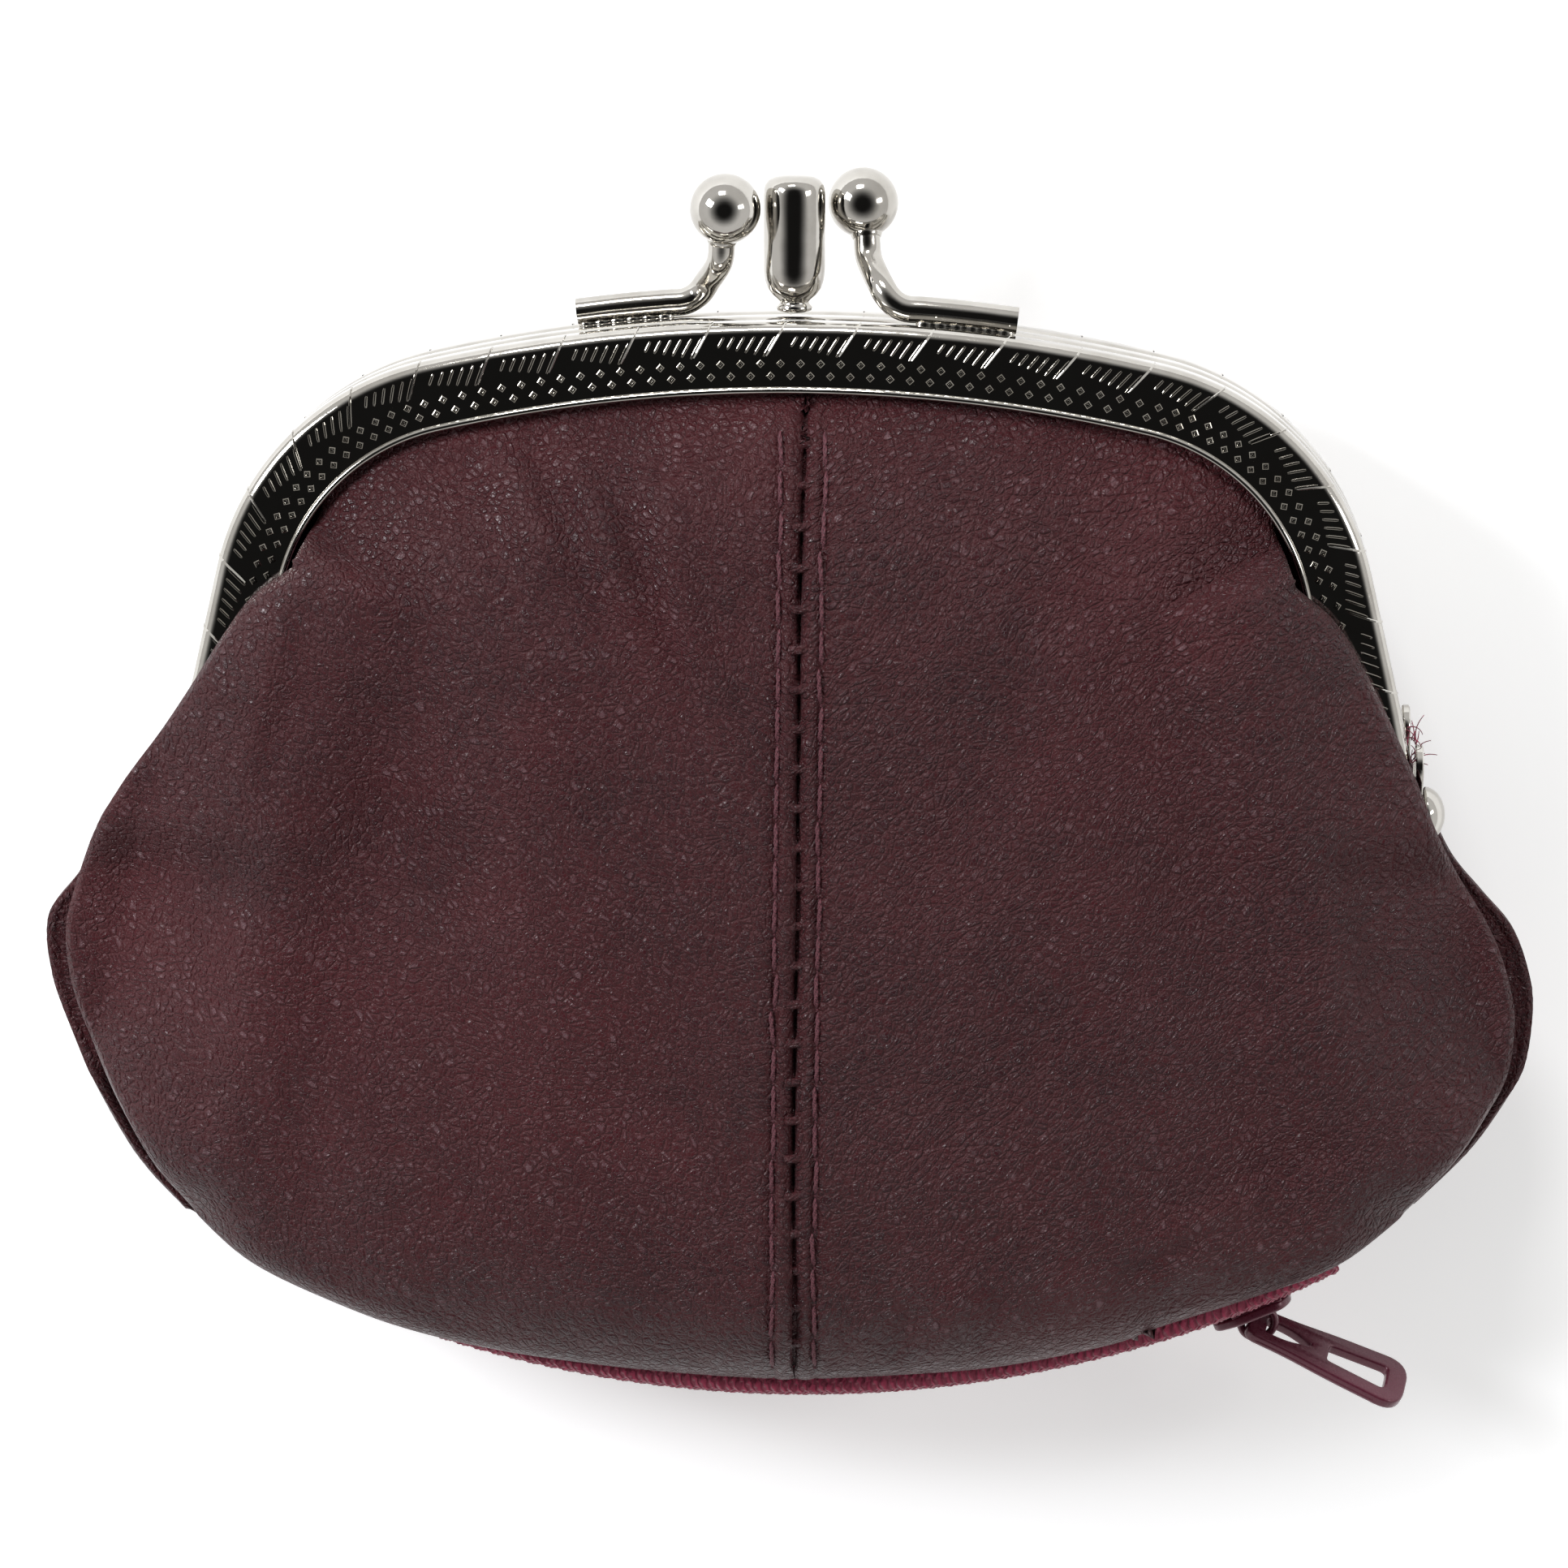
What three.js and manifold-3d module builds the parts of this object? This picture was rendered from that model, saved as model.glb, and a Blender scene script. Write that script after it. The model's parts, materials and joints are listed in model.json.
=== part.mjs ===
// A three-frame coin purse with a zipped base, lying on its back. Millimetres.
// X runs along the mouth, Y points from the zip up to the clasp, Z points out of the front panel.
// Y is measured from the zip's lowest line while drawing; the whole purse is centred at the end.
import * as THREE from 'three';
import { mergeVertices } from 'three/addons/utils/BufferGeometryUtils.js';
import Module from 'manifold-3d';

const wasm = await Module();
wasm.setup();
const rad = THREE.MathUtils.degToRad;

// Driving dimensions
const DEPTH = 26;
const MIDDLE = DEPTH / 2;
const GAP = 0.3;
const CENTRE_Y = 48.1;

const ARCH = { crown: 85.4, topRadius: 127, cornerRadius: 21.5, spread: rad(13) };
const CHANNEL = { depth: 5.4, thickness: 3.4, pitch: 3.6, wall: 0.5 };
const LEG = { outer: 17.3, middle: 14.4 };
const HINGE = { y: 46.5, lugRadius: 1.7, lugThickness: 0.6, holeRadius: 0.88, pinRadius: 0.8 };
const POST = { radius: 2.4, top: 96.3 };
const CLASP = { ballRadius: 2.75, ballX: 5.25, wireRadius: 1.05 };

const PANEL = { width: 57, widestY: 34, drop: 31.8, bottomY: 3.4, sag: 1.2, edge: 4.6 };
const LEATHER = 1;
const VISOR = { start: rad(72), turn: rad(55), halfWidth: 41.5 };
const SEAM_HALF_GAP = 0.15;

const ZIP = { radius: 93, tapeAngle: rad(27.5), chainAngle: rad(25.5), chainHalfGap: 0.4 };
const SLIDER = { angle: rad(22.8), halfLength: rad(1.85), halfWidth: 2.7, plate: 0.8 };
const PULLER = { length: 12.4, halfWidth: 2.5, thickness: 0.8, pivotRadius: 95.4 };
const PULLER_REST = { roll: rad(20), heading: rad(-24) };

// The arch that all three frames follow: a top arc, two corner arcs and two straight legs.
const topLength = ARCH.topRadius * ARCH.spread;
const cornerTurn = Math.PI / 2 - 2 * ARCH.spread;
const cornerLength = ARCH.cornerRadius * cornerTurn;
const topCentre = new THREE.Vector2(0, ARCH.crown - ARCH.topRadius);
const cornerCentre = new THREE.Vector2(Math.sin(ARCH.spread), Math.cos(ARCH.spread))
  .multiplyScalar(ARCH.topRadius - ARCH.cornerRadius)
  .add(topCentre);

// A point on the arch: distance is measured along its outer edge from the crown, inset towards the mouth.
function archPoint(distance, inset) {
  const side = distance < 0 ? -1 : 1;
  const along = Math.abs(distance);
  const legRun = Math.max(0, along - topLength - cornerLength);
  let point;
  if (along < topLength) {
    const angle = Math.PI / 2 - along / ARCH.topRadius;
    point = fromPolar(topCentre, ARCH.topRadius - inset, angle);
  } else {
    const turned = Math.min(cornerLength, along - topLength) / ARCH.cornerRadius;
    point = fromPolar(cornerCentre, ARCH.cornerRadius - inset, Math.PI / 2 - ARCH.spread - turned);
    point.x += legRun * Math.sin(ARCH.spread);
    point.y -= legRun * Math.cos(ARCH.spread);
  }
  point.x *= side;
  return point;
}

function fromPolar(centre, radius, angle) {
  return new THREE.Vector2(centre.x + radius * Math.cos(angle), centre.y + radius * Math.sin(angle));
}

// Distances at which the arch is sampled, from the left foot to the right foot.
function archStations(leg) {
  const half = [];
  for (let i = 1; i <= 5; i += 1) half.push((topLength * i) / 5);
  for (let i = 1; i <= 8; i += 1) half.push(topLength + (cornerLength * i) / 8);
  half.push(topLength + cornerLength + leg);
  return [...half.map((d) => -d).reverse(), 0, ...half];
}

function archLine(inset, leg) {
  return archStations(leg).map((distance) => archPoint(distance, inset));
}

// Solids
function toSolid(geometry) {
  const bare = geometry.clone();
  bare.deleteAttribute('normal');
  bare.deleteAttribute('uv');
  const merged = mergeVertices(bare);
  const mesh = new wasm.Mesh({
    numProp: 3,
    vertProperties: merged.attributes.position.array,
    triVerts: new Uint32Array(merged.index.array),
  });
  return new wasm.Manifold(mesh);
}

function toGeometry(solid) {
  const mesh = solid.getMesh();
  const geometry = new THREE.BufferGeometry();
  geometry.setAttribute('position', new THREE.BufferAttribute(mesh.vertProperties, 3));
  geometry.setIndex(new THREE.BufferAttribute(mesh.triVerts, 1));
  geometry.computeVertexNormals();
  return geometry;
}

function plate(points, zLow, thickness) {
  const geometry = new THREE.ExtrudeGeometry(new THREE.Shape(points), {
    depth: thickness,
    bevelEnabled: false,
  });
  return geometry.translate(0, 0, zLow);
}

// A box whose points are moved to place(u, v, w), each from 0 to 1. Mirrored pieces keep their faces outward.
function formed(columns, rows, mirrored, place) {
  const geometry = new THREE.BoxGeometry(1, 1, 1, columns, rows, 1);
  const position = geometry.attributes.position;
  for (let i = 0; i < position.count; i += 1) {
    const u = position.getX(i) + 0.5;
    const point = place(mirrored ? 1 - u : u, position.getY(i) + 0.5, position.getZ(i) + 0.5);
    position.setXYZ(i, point.x, point.y, point.z);
  }
  return toGeometry(toSolid(geometry));
}

function polygon(radius, sides) {
  const points = [];
  for (let i = 0; i < sides; i += 1) {
    points.push(fromPolar(new THREE.Vector2(), radius, (2 * Math.PI * i) / sides));
  }
  return new THREE.Shape(points);
}

function rod(points, radius, sides, steps) {
  return new THREE.ExtrudeGeometry(polygon(radius, sides), {
    steps,
    extrudePath: new THREE.CatmullRomCurve3(points),
  });
}

// Materials
function finish(color, roughness, metalness) {
  return new THREE.MeshStandardMaterial({ color, roughness, metalness });
}

const nickel = () => finish(0xc9c6bf, 0.12, 1);
const leather = () => finish(0x43262d, 0.48, 0);
const lining = () => finish(0x5a2030, 0.85, 0);
const tape = () => finish(0x7a1f3a, 0.8, 0);
const painted = () => finish(0x5d2535, 0.35, 0.3);
const paper = () => finish(0xb9a98c, 0.95, 0);

const purse = new THREE.Group();
const body = new THREE.Group();
body.position.y = -CENTRE_Y;
purse.add(body);

function add(name, geometry, material, parent = body) {
  const mesh = new THREE.Mesh(geometry, material);
  mesh.name = name;
  parent.add(mesh);
  return mesh;
}

// Frames: bent channels, open towards the mouth, with a lug at each foot for the hinge rivet.
function lugSolid(side, xInner, end) {
  const hinge = new THREE.Vector2(HINGE.y, MIDDLE);
  const angle = Math.atan2(end.y - hinge.y, end.x - hinge.x);
  const shape = new THREE.Shape();
  shape.absarc(hinge.x, hinge.y, HINGE.lugRadius, angle + Math.PI / 2, angle + 1.5 * Math.PI);
  shape.absarc(end.x, end.y, HINGE.lugRadius, angle - Math.PI / 2, angle + Math.PI / 2);
  const geometry = new THREE.ExtrudeGeometry(shape, {
    depth: HINGE.lugThickness,
    bevelEnabled: false,
    curveSegments: 8,
  });
  const alongX = new THREE.Matrix4().makeBasis(
    new THREE.Vector3(0, 1, 0),
    new THREE.Vector3(0, 0, 1),
    new THREE.Vector3(1, 0, 0),
  );
  geometry.applyMatrix4(alongX);
  geometry.translate(side > 0 ? xInner : -xInner - HINGE.lugThickness, 0, 0);
  return toSolid(geometry);
}

function frame(zCentre, leg, lugX, lugEnd) {
  const { depth, thickness, wall } = CHANNEL;
  const outline = [...archLine(0, leg), ...archLine(depth, leg).reverse()];
  const cavity = [...archLine(wall, leg + 2), ...archLine(depth + 2, leg + 2).reverse()];
  let solid = toSolid(plate(outline, zCentre - thickness / 2, thickness));
  const inside = thickness - 2 * wall;
  solid = solid.subtract(toSolid(plate(cavity, zCentre - inside / 2, inside)));
  for (const side of [-1, 1]) {
    const hole = new THREE.CylinderGeometry(HINGE.holeRadius, HINGE.holeRadius, 4, 24);
    hole.rotateZ(Math.PI / 2).translate(side * lugX, HINGE.y, MIDDLE);
    solid = solid.add(lugSolid(side, lugX, lugEnd)).subtract(toSolid(hole));
  }
  return toGeometry(solid);
}

const frontZ = MIDDLE + CHANNEL.pitch;
const rearZ = MIDDLE - CHANNEL.pitch;
const LUG_X = { front: 48.3, middle: 47.4, rear: 46.5 };
const LUG_REACH = { y: 51, z: 3.6 };
add('middle_frame', frame(MIDDLE, LEG.middle, LUG_X.middle, new THREE.Vector2(53.5, MIDDLE)), nickel());
add(
  'front_frame',
  frame(frontZ, LEG.outer, LUG_X.front, new THREE.Vector2(LUG_REACH.y, MIDDLE + LUG_REACH.z)),
  nickel(),
);
add(
  'rear_frame',
  frame(rearZ, LEG.outer, LUG_X.rear, new THREE.Vector2(LUG_REACH.y, MIDDLE - LUG_REACH.z)),
  nickel(),
);

// Hinge rivets: a small inner head, a pin through the three lugs and a domed outer head.
const rivetProfile = [
  [0, 44.9], [1.5, 45.1], [1.5, 46.2], [HINGE.pinRadius, 46.2], [HINGE.pinRadius, 49.2],
  [2.2, 49.2], [2.05, 49.8], [1.6, 50.4], [0.9, 50.8], [0, 50.9],
].map(([radius, along]) => new THREE.Vector2(radius, along));
for (const [name, side] of [['left_hinge_rivet', -1], ['right_hinge_rivet', 1]]) {
  const rivet = new THREE.LatheGeometry(rivetProfile, 18);
  rivet.rotateZ((-side * Math.PI) / 2).translate(0, HINGE.y, MIDDLE);
  add(name, toGeometry(toSolid(rivet)), nickel());
}

// Paper cords that wedge the leather inside the channels
const CORD = { radius: 0.35, inset: 3.6 };
function frameCord(z, leg) {
  const points = archLine(CORD.inset, leg).map((p) => new THREE.Vector3(p.x, p.y, z));
  return rod(points, CORD.radius, 6, 30);
}
const CORD_SHIFT = 0.65;
add('front_frame_cord', frameCord(frontZ - CORD_SHIFT, 4), paper());
add('middle_frame_cord', frameCord(MIDDLE + CORD_SHIFT, 4), paper());
add('rear_frame_cord', frameCord(rearZ + CORD_SHIFT, 4), paper());

// Clasp: a post on the middle frame and a ball on a bent wire on each outer frame.
const postBase = ARCH.crown + GAP;
const postProfile = [
  [0, postBase], [1, postBase], [1.2, postBase + 0.6], [1.9, postBase + 1.2], [POST.radius, postBase + 2.6],
  [POST.radius, POST.top - 1.2], [2.15, POST.top - 0.5], [1.5, POST.top - 0.08], [0, POST.top],
].map(([radius, y]) => new THREE.Vector2(radius, y));
const post = new THREE.LatheGeometry(postProfile, 24).translate(0, 0, MIDDLE);
add('centre_post', toGeometry(toSolid(post)), nickel());

function clasp(name, side, rodZ, ballZ, ballY, rodEnd) {
  const ball = new THREE.Vector3(side * CLASP.ballX, ballY, ballZ);
  const shoulder = new THREE.Vector3(side * 5.7, ballY - 4.4, THREE.MathUtils.lerp(ballZ, rodZ, 0.35));
  const clearance = CLASP.ballRadius + CLASP.wireRadius * 0.25;
  const neck = shoulder.clone().sub(ball).setLength(clearance).add(ball);
  const height = CLASP.wireRadius + GAP;
  const onFrame = (x) => new THREE.Vector3(side * x, archPoint(x, 0).y + height, rodZ);
  const points = [onFrame(rodEnd), onFrame(13), onFrame(9.2), new THREE.Vector3(side * 7, 88, rodZ)];
  points.push(shoulder, neck);
  add(`${name}_clasp_arm`, rod(points, CLASP.wireRadius, 10, 24), nickel());
  const sphere = new THREE.SphereGeometry(CLASP.ballRadius, 18, 12).translate(ball.x, ball.y, ball.z);
  add(`${name}_clasp_ball`, toGeometry(toSolid(sphere)), nickel());
}
clasp('front', 1, 15.1, 11.2, 94.0, 17.3);
clasp('rear', -1, 10.9, 14.8, 93.8, 17);

// Leather panels: each face is a left and a right half, and each half has a lower shell
// and an upper shell that swings with its frame and slides inside the lower one like a visor.
function halfWidth(y) {
  const { width, widestY, drop } = PANEL;
  if (y < widestY) return width * (1 - ((widestY - y) / drop) ** 2.2) ** (1 / 2.2);
  return width - 4 * ((y - widestY) / 10) ** 2;
}

function bulgeAcross(a) {
  return Math.min(1, 1.02 * Math.sqrt(Math.max(0, 1 - a ** 3.4)));
}

function bulgeAlong(v) {
  return (1 - (1 - Math.min(1, v / 0.6)) ** 2.4) ** 0.55;
}

function panelHeight(a, v) {
  return PANEL.edge + (MIDDLE - PANEL.edge) * bulgeAcross(a) * bulgeAlong(v);
}

// The shell a distance inside the outer surface, made by scaling about the panel's middle.
function lowerPanelPoint(side, face, a, v, inside) {
  const yTop = HINGE.y - panelHeight(a, 1) / Math.tan(VISOR.start);
  const y = THREE.MathUtils.lerp(PANEL.bottomY, yTop, v ** 1.6);
  const x = a * halfWidth(y);
  const sagged = y - PANEL.sag * (1 - v) ** 4 * (1 - a * a);
  return new THREE.Vector3(
    side * (SEAM_HALF_GAP + x * (1 - (inside + SEAM_HALF_GAP) / PANEL.width)),
    PANEL.widestY + (sagged - PANEL.widestY) * (1 - inside / PANEL.drop),
    MIDDLE + face * panelHeight(a, v ** 1.6) * (1 - inside / MIDDLE),
  );
}

function lowerShell(rows, side, face, insideOut, insideIn, vRange) {
  return formed(9, rows, side * face < 0, (u, v, w) => {
    const inside = THREE.MathUtils.lerp(insideIn, insideOut, w);
    return lowerPanelPoint(side, face, u, THREE.MathUtils.lerp(vRange[0], vRange[1], v), inside);
  });
}

function visorRadius(x) {
  const height = panelHeight(x / halfWidth(HINGE.y - 3), 1) * (1 - LEATHER / MIDDLE);
  return height / Math.sin(VISOR.start) - GAP;
}

// Profile of the upper shell: the visor arc, a slope up to the frame's rim, and the tuck into the channel.
const RIM = { inset: 6, height: 4.4, tuck: 3.6, lastDistance: 57.6 };
const ARC_SHARE = 0.4;
const SLOPE_SHARE = 0.85;
function upperPanelPoint(side, face, a, v, w) {
  const x = SEAM_HALF_GAP + a * (VISOR.halfWidth - SEAM_HALF_GAP);
  const radius = visorRadius(x) - (1 - w) * LEATHER;
  const phi = VISOR.start + VISOR.turn * Math.min(1, v / ARC_SHARE);
  const point = new THREE.Vector3(x, HINGE.y - radius * Math.cos(phi), radius * Math.sin(phi));
  if (v > ARC_SHARE) {
    const distance = SEAM_HALF_GAP + a * (RIM.lastDistance - SEAM_HALF_GAP);
    const tucked = Math.max(0, (v - SLOPE_SHARE) / (1 - SLOPE_SHARE));
    const depth = RIM.tuck * tucked * (1 - 0.9 * a ** 6);
    const rim = archPoint(distance, RIM.inset - depth);
    const slope = Math.min(1, (v - ARC_SHARE) / (SLOPE_SHARE - ARC_SHARE));
    point.lerp(new THREE.Vector3(rim.x, rim.y, RIM.height - (1 - w) * 0.8), slope);
  }
  return new THREE.Vector3(side * point.x, point.y, MIDDLE + face * point.z);
}

const LINING = { outer: 1.35, inner: 1.85, from: 0.02, to: 0.76 };
for (const [faceName, face] of [['front', 1], ['rear', -1]]) {
  for (const [sideName, side] of [['left', -1], ['right', 1]]) {
    const lower = lowerShell(9, side, face, 0, LEATHER, [0, 1]);
    add(`${faceName}_panel_lower_${sideName}`, lower, leather());
    const upper = formed(9, 12, side * face < 0, (u, v, w) => upperPanelPoint(side, face, u, v, w));
    add(`${faceName}_panel_upper_${sideName}`, upper, leather());
    const cloth = lowerShell(6, side, face, LINING.outer, LINING.inner, [LINING.from, LINING.to]);
    add(`${faceName}_lining_${sideName}`, cloth, lining());
  }
}

// Gussets: narrow side walls just inside the panels' edges, from the hinge down to the zip's ends.
const GUSSET = { low: 14, high: 43.6, halfDepth: 3.2, outer: 0.6, inner: 1.6 };
for (const [name, side] of [['left_gusset', -1], ['right_gusset', 1]]) {
  const strip = formed(1, 12, side < 0, (u, v, w) => {
    const y = THREE.MathUtils.lerp(GUSSET.low, GUSSET.high, v);
    const inset = THREE.MathUtils.lerp(GUSSET.inner, GUSSET.outer, u);
    const z = MIDDLE + (w - 0.5) * 2 * GUSSET.halfDepth;
    return new THREE.Vector3(side * (halfWidth(y) - inset), y, z);
  });
  add(name, strip, leather());
}

// Divider: one layer in the middle frame that parts below the hinge into two, with the zip pocket between.
const DIVIDER = { thickness: 0.7, foot: 48, halfWidth: 41, tuck: 2.4, tuckLeg: 3 };
const dividerOutline = [
  new THREE.Vector2(-DIVIDER.halfWidth, DIVIDER.foot),
  new THREE.Vector2(-DIVIDER.halfWidth, 58),
  ...archLine(DIVIDER.tuck, DIVIDER.tuckLeg),
  new THREE.Vector2(DIVIDER.halfWidth, 58),
  new THREE.Vector2(DIVIDER.halfWidth, DIVIDER.foot),
];
add('divider_upper', plate(dividerOutline, MIDDLE - 0.8, DIVIDER.thickness), lining());

const POCKET = { top: 45, straightTo: 33, bottom: 5, rise: 9, startZ: 0.4, endZ: 3, halfWidth: 41, swell: 7 };
for (const [faceName, face] of [['front', 1], ['rear', -1]]) {
  const layer = formed(12, 6, face < 0, (u, v, w) => {
    const a = 2 * u - 1;
    const bottom = POCKET.bottom + POCKET.rise * a * a;
    const y = THREE.MathUtils.lerp(bottom, POCKET.top, v);
    const x = a * (POCKET.halfWidth + POCKET.swell * Math.sin(Math.PI * v));
    const spread = Math.max(0, (POCKET.straightTo - y) / (POCKET.straightTo - POCKET.bottom));
    const z = THREE.MathUtils.lerp(POCKET.startZ, POCKET.endZ, spread * (1 - a ** 4)) + w * DIVIDER.thickness;
    return new THREE.Vector3(x, y, MIDDLE + face * z);
  });
  add(`${faceName}_divider_lower`, layer, lining());
}

// Zip: two tapes and two rows of teeth on one arc, a stop at each end, and a slider with its puller.
const zipCentre = new THREE.Vector2(0, ZIP.radius);
function sector(innerRadius, outerRadius, from, to, steps, zLow, thickness) {
  const inner = [];
  const outer = [];
  for (let i = 0; i <= steps; i += 1) {
    const angle = -Math.PI / 2 + THREE.MathUtils.lerp(from, to, i / steps);
    inner.push(fromPolar(zipCentre, innerRadius, angle));
    outer.push(fromPolar(zipCentre, outerRadius, angle));
  }
  return plate([...outer, ...inner.reverse()], zLow, thickness);
}

const TAPE = { inner: 92.5, near: 1.9, width: 2.6 };
const CHAIN = { inner: 91.9, width: 1.2 };
for (const [faceName, face] of [['front', 1], ['rear', -1]]) {
  const tapeZ = face > 0 ? MIDDLE + TAPE.near : MIDDLE - TAPE.near - TAPE.width;
  const strip = sector(TAPE.inner, ZIP.radius, -ZIP.tapeAngle, ZIP.tapeAngle, 20, tapeZ, TAPE.width);
  add(`zip_tape_${faceName}`, strip, tape());
  const chainZ = face > 0 ? MIDDLE + ZIP.chainHalfGap : MIDDLE - ZIP.chainHalfGap - CHAIN.width;
  const teeth = sector(CHAIN.inner, ZIP.radius, -ZIP.chainAngle, ZIP.chainAngle, 20, chainZ, CHAIN.width);
  add(`zip_chain_${faceName}`, teeth, tape());
}

const STOP = { from: rad(25.8), to: rad(27.5), halfDepth: 1.6 };
for (const [name, side] of [['left_zip_stop', -1], ['right_zip_stop', 1]]) {
  const ends = [side * STOP.from, side * STOP.to].sort((a, b) => a - b);
  const block = sector(CHAIN.inner, ZIP.radius, ...ends, 3, MIDDLE - STOP.halfDepth, 2 * STOP.halfDepth);
  add(name, block, leather());
}

// Slider: two plates joined by a thin web between the rows, with a lug that carries the puller.
function sliderGeometry() {
  const { halfLength, halfWidth: half, plate: thick } = SLIDER;
  const low = MIDDLE - half;
  const outerInner = ZIP.radius + GAP;
  const innerOuter = CHAIN.inner - GAP;
  const lugRadius = 1.5;
  const lugHole = 0.95;
  const lugHalf = 0.4;
  let solid = toSolid(sector(outerInner, outerInner + thick, -halfLength, halfLength, 4, low, 2 * half));
  solid = solid.add(
    toSolid(sector(innerOuter - thick, innerOuter, -halfLength, halfLength, 4, low, 2 * half)),
  );
  const web = sector(innerOuter - 0.2, outerInner + 0.2, rad(-1.6), rad(-0.4), 1, MIDDLE - 0.2, 0.4);
  solid = solid.add(toSolid(web));
  const pivot = new THREE.Vector2(0, ZIP.radius - PULLER.pivotRadius);
  const lug = [
    new THREE.Vector2(-lugRadius, -outerInner - 0.2 + ZIP.radius),
    ...Array.from({ length: 13 }, (_, i) => fromPolar(pivot, lugRadius, Math.PI + (Math.PI * i) / 12)),
    new THREE.Vector2(lugRadius, -outerInner - 0.2 + ZIP.radius),
  ];
  solid = solid.add(toSolid(plate(lug, MIDDLE - lugHalf, 2 * lugHalf)));
  const hole = new THREE.CylinderGeometry(lugHole, lugHole, 4, 16);
  hole.rotateX(Math.PI / 2).translate(pivot.x, pivot.y, MIDDLE);
  return toGeometry(solid.subtract(toSolid(hole)));
}
const zipGroup = new THREE.Group();
zipGroup.position.set(zipCentre.x, zipCentre.y, 0);
zipGroup.rotation.z = SLIDER.angle;
const sliderSeat = new THREE.Group();
sliderSeat.position.set(-zipCentre.x, -zipCentre.y, 0);
zipGroup.add(sliderSeat);
body.add(zipGroup);
add('zip_slider', sliderGeometry(), painted(), sliderSeat);

// Puller: a flat frame whose near bar passes through the slider's lug; it hangs a little rolled.
function pullerGeometry() {
  const { length, halfWidth: half, thickness } = PULLER;
  const shape = new THREE.Shape();
  shape.moveTo(-0.7, -1.5);
  shape.lineTo(2.4, -1.6);
  shape.lineTo(length - 2.2, -half);
  shape.absarc(length - 2.2, -half + 1.4, 1.4, -Math.PI / 2, 0);
  shape.absarc(length - 2.2, half - 1.4, 1.4, 0, Math.PI / 2);
  shape.lineTo(2.4, 1.6);
  shape.lineTo(-0.7, 1.5);
  const slot = new THREE.Path([
    new THREE.Vector2(0.3, -1), new THREE.Vector2(0.3, 1), new THREE.Vector2(2.6, 1),
    new THREE.Vector2(4.4, 0.35), new THREE.Vector2(4.4, -0.35), new THREE.Vector2(2.6, -1),
  ]);
  const window = new THREE.Path([
    new THREE.Vector2(6, -1), new THREE.Vector2(6, 1), new THREE.Vector2(9.6, 1.4),
    new THREE.Vector2(9.6, -1.4),
  ]);
  shape.holes.push(slot, window);
  const options = { depth: thickness, bevelEnabled: false, curveSegments: 5 };
  const geometry = new THREE.ExtrudeGeometry(shape, options).translate(0, 0, -thickness / 2);
  return toGeometry(toSolid(geometry));
}
const pivot = fromPolar(zipCentre, PULLER.pivotRadius, SLIDER.angle - Math.PI / 2);
const pullerGroup = new THREE.Group();
pullerGroup.position.set(pivot.x, pivot.y, MIDDLE);
pullerGroup.rotation.z = PULLER_REST.heading;
body.add(pullerGroup);
const puller = add('zip_puller', pullerGeometry(), painted(), pullerGroup);
puller.rotation.x = Math.PI / 2 + PULLER_REST.roll;

export default purse;
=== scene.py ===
import json
import math

import bmesh
import bpy
import numpy as np
from mathutils import Matrix, Vector


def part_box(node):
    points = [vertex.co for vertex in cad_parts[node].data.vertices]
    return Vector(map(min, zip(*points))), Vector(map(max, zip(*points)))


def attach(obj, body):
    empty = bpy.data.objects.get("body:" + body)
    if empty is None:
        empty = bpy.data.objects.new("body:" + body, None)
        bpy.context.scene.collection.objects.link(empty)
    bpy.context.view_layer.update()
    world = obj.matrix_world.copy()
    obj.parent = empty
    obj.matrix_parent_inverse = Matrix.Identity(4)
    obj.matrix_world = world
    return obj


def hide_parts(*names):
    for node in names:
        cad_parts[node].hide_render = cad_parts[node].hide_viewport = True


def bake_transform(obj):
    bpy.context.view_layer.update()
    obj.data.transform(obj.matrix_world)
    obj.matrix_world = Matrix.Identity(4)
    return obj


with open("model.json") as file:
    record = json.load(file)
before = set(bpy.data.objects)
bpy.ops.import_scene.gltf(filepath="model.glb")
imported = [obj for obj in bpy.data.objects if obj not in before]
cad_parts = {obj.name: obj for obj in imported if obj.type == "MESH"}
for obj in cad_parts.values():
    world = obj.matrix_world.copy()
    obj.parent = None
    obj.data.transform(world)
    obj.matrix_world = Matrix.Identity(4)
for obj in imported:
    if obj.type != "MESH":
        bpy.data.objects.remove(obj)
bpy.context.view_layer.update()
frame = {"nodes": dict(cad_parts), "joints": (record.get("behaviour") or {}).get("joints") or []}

rng = np.random.default_rng(11)

# ---------------------------------------------------------------------------
# The drawing frame: millimetres, X and Z as in the row frame, Y measured from
# the zip's lowest line. `row` turns drawn points into row-frame metres.
# ---------------------------------------------------------------------------
MM = 0.001


def box_mm(node):
    """A CAD node's box in millimetres of the row frame."""
    low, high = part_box(node)
    return np.array(low) / MM, np.array(high) / MM


BASE_Y = box_mm("zip_tape_front")[0][1]
MID_Z = float(np.mean([corner[2] for corner in box_mm("middle_frame")]))
CROWN = box_mm("middle_frame")[1][1] - BASE_Y
BELLY = box_mm("front_panel_lower_left")[1][2] - MID_Z
HINGE = next(j for j in frame["joints"] if j["name"] == "front_frame_hinge")
FACES = (("front", 1), ("rear", -1))
SIDES = (("left", -1), ("right", 1))


def row(points):
    """Drawn points to row-frame metres."""
    points = np.asarray(points, float).copy()
    points[:, 1] += BASE_Y
    return points * MM


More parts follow.
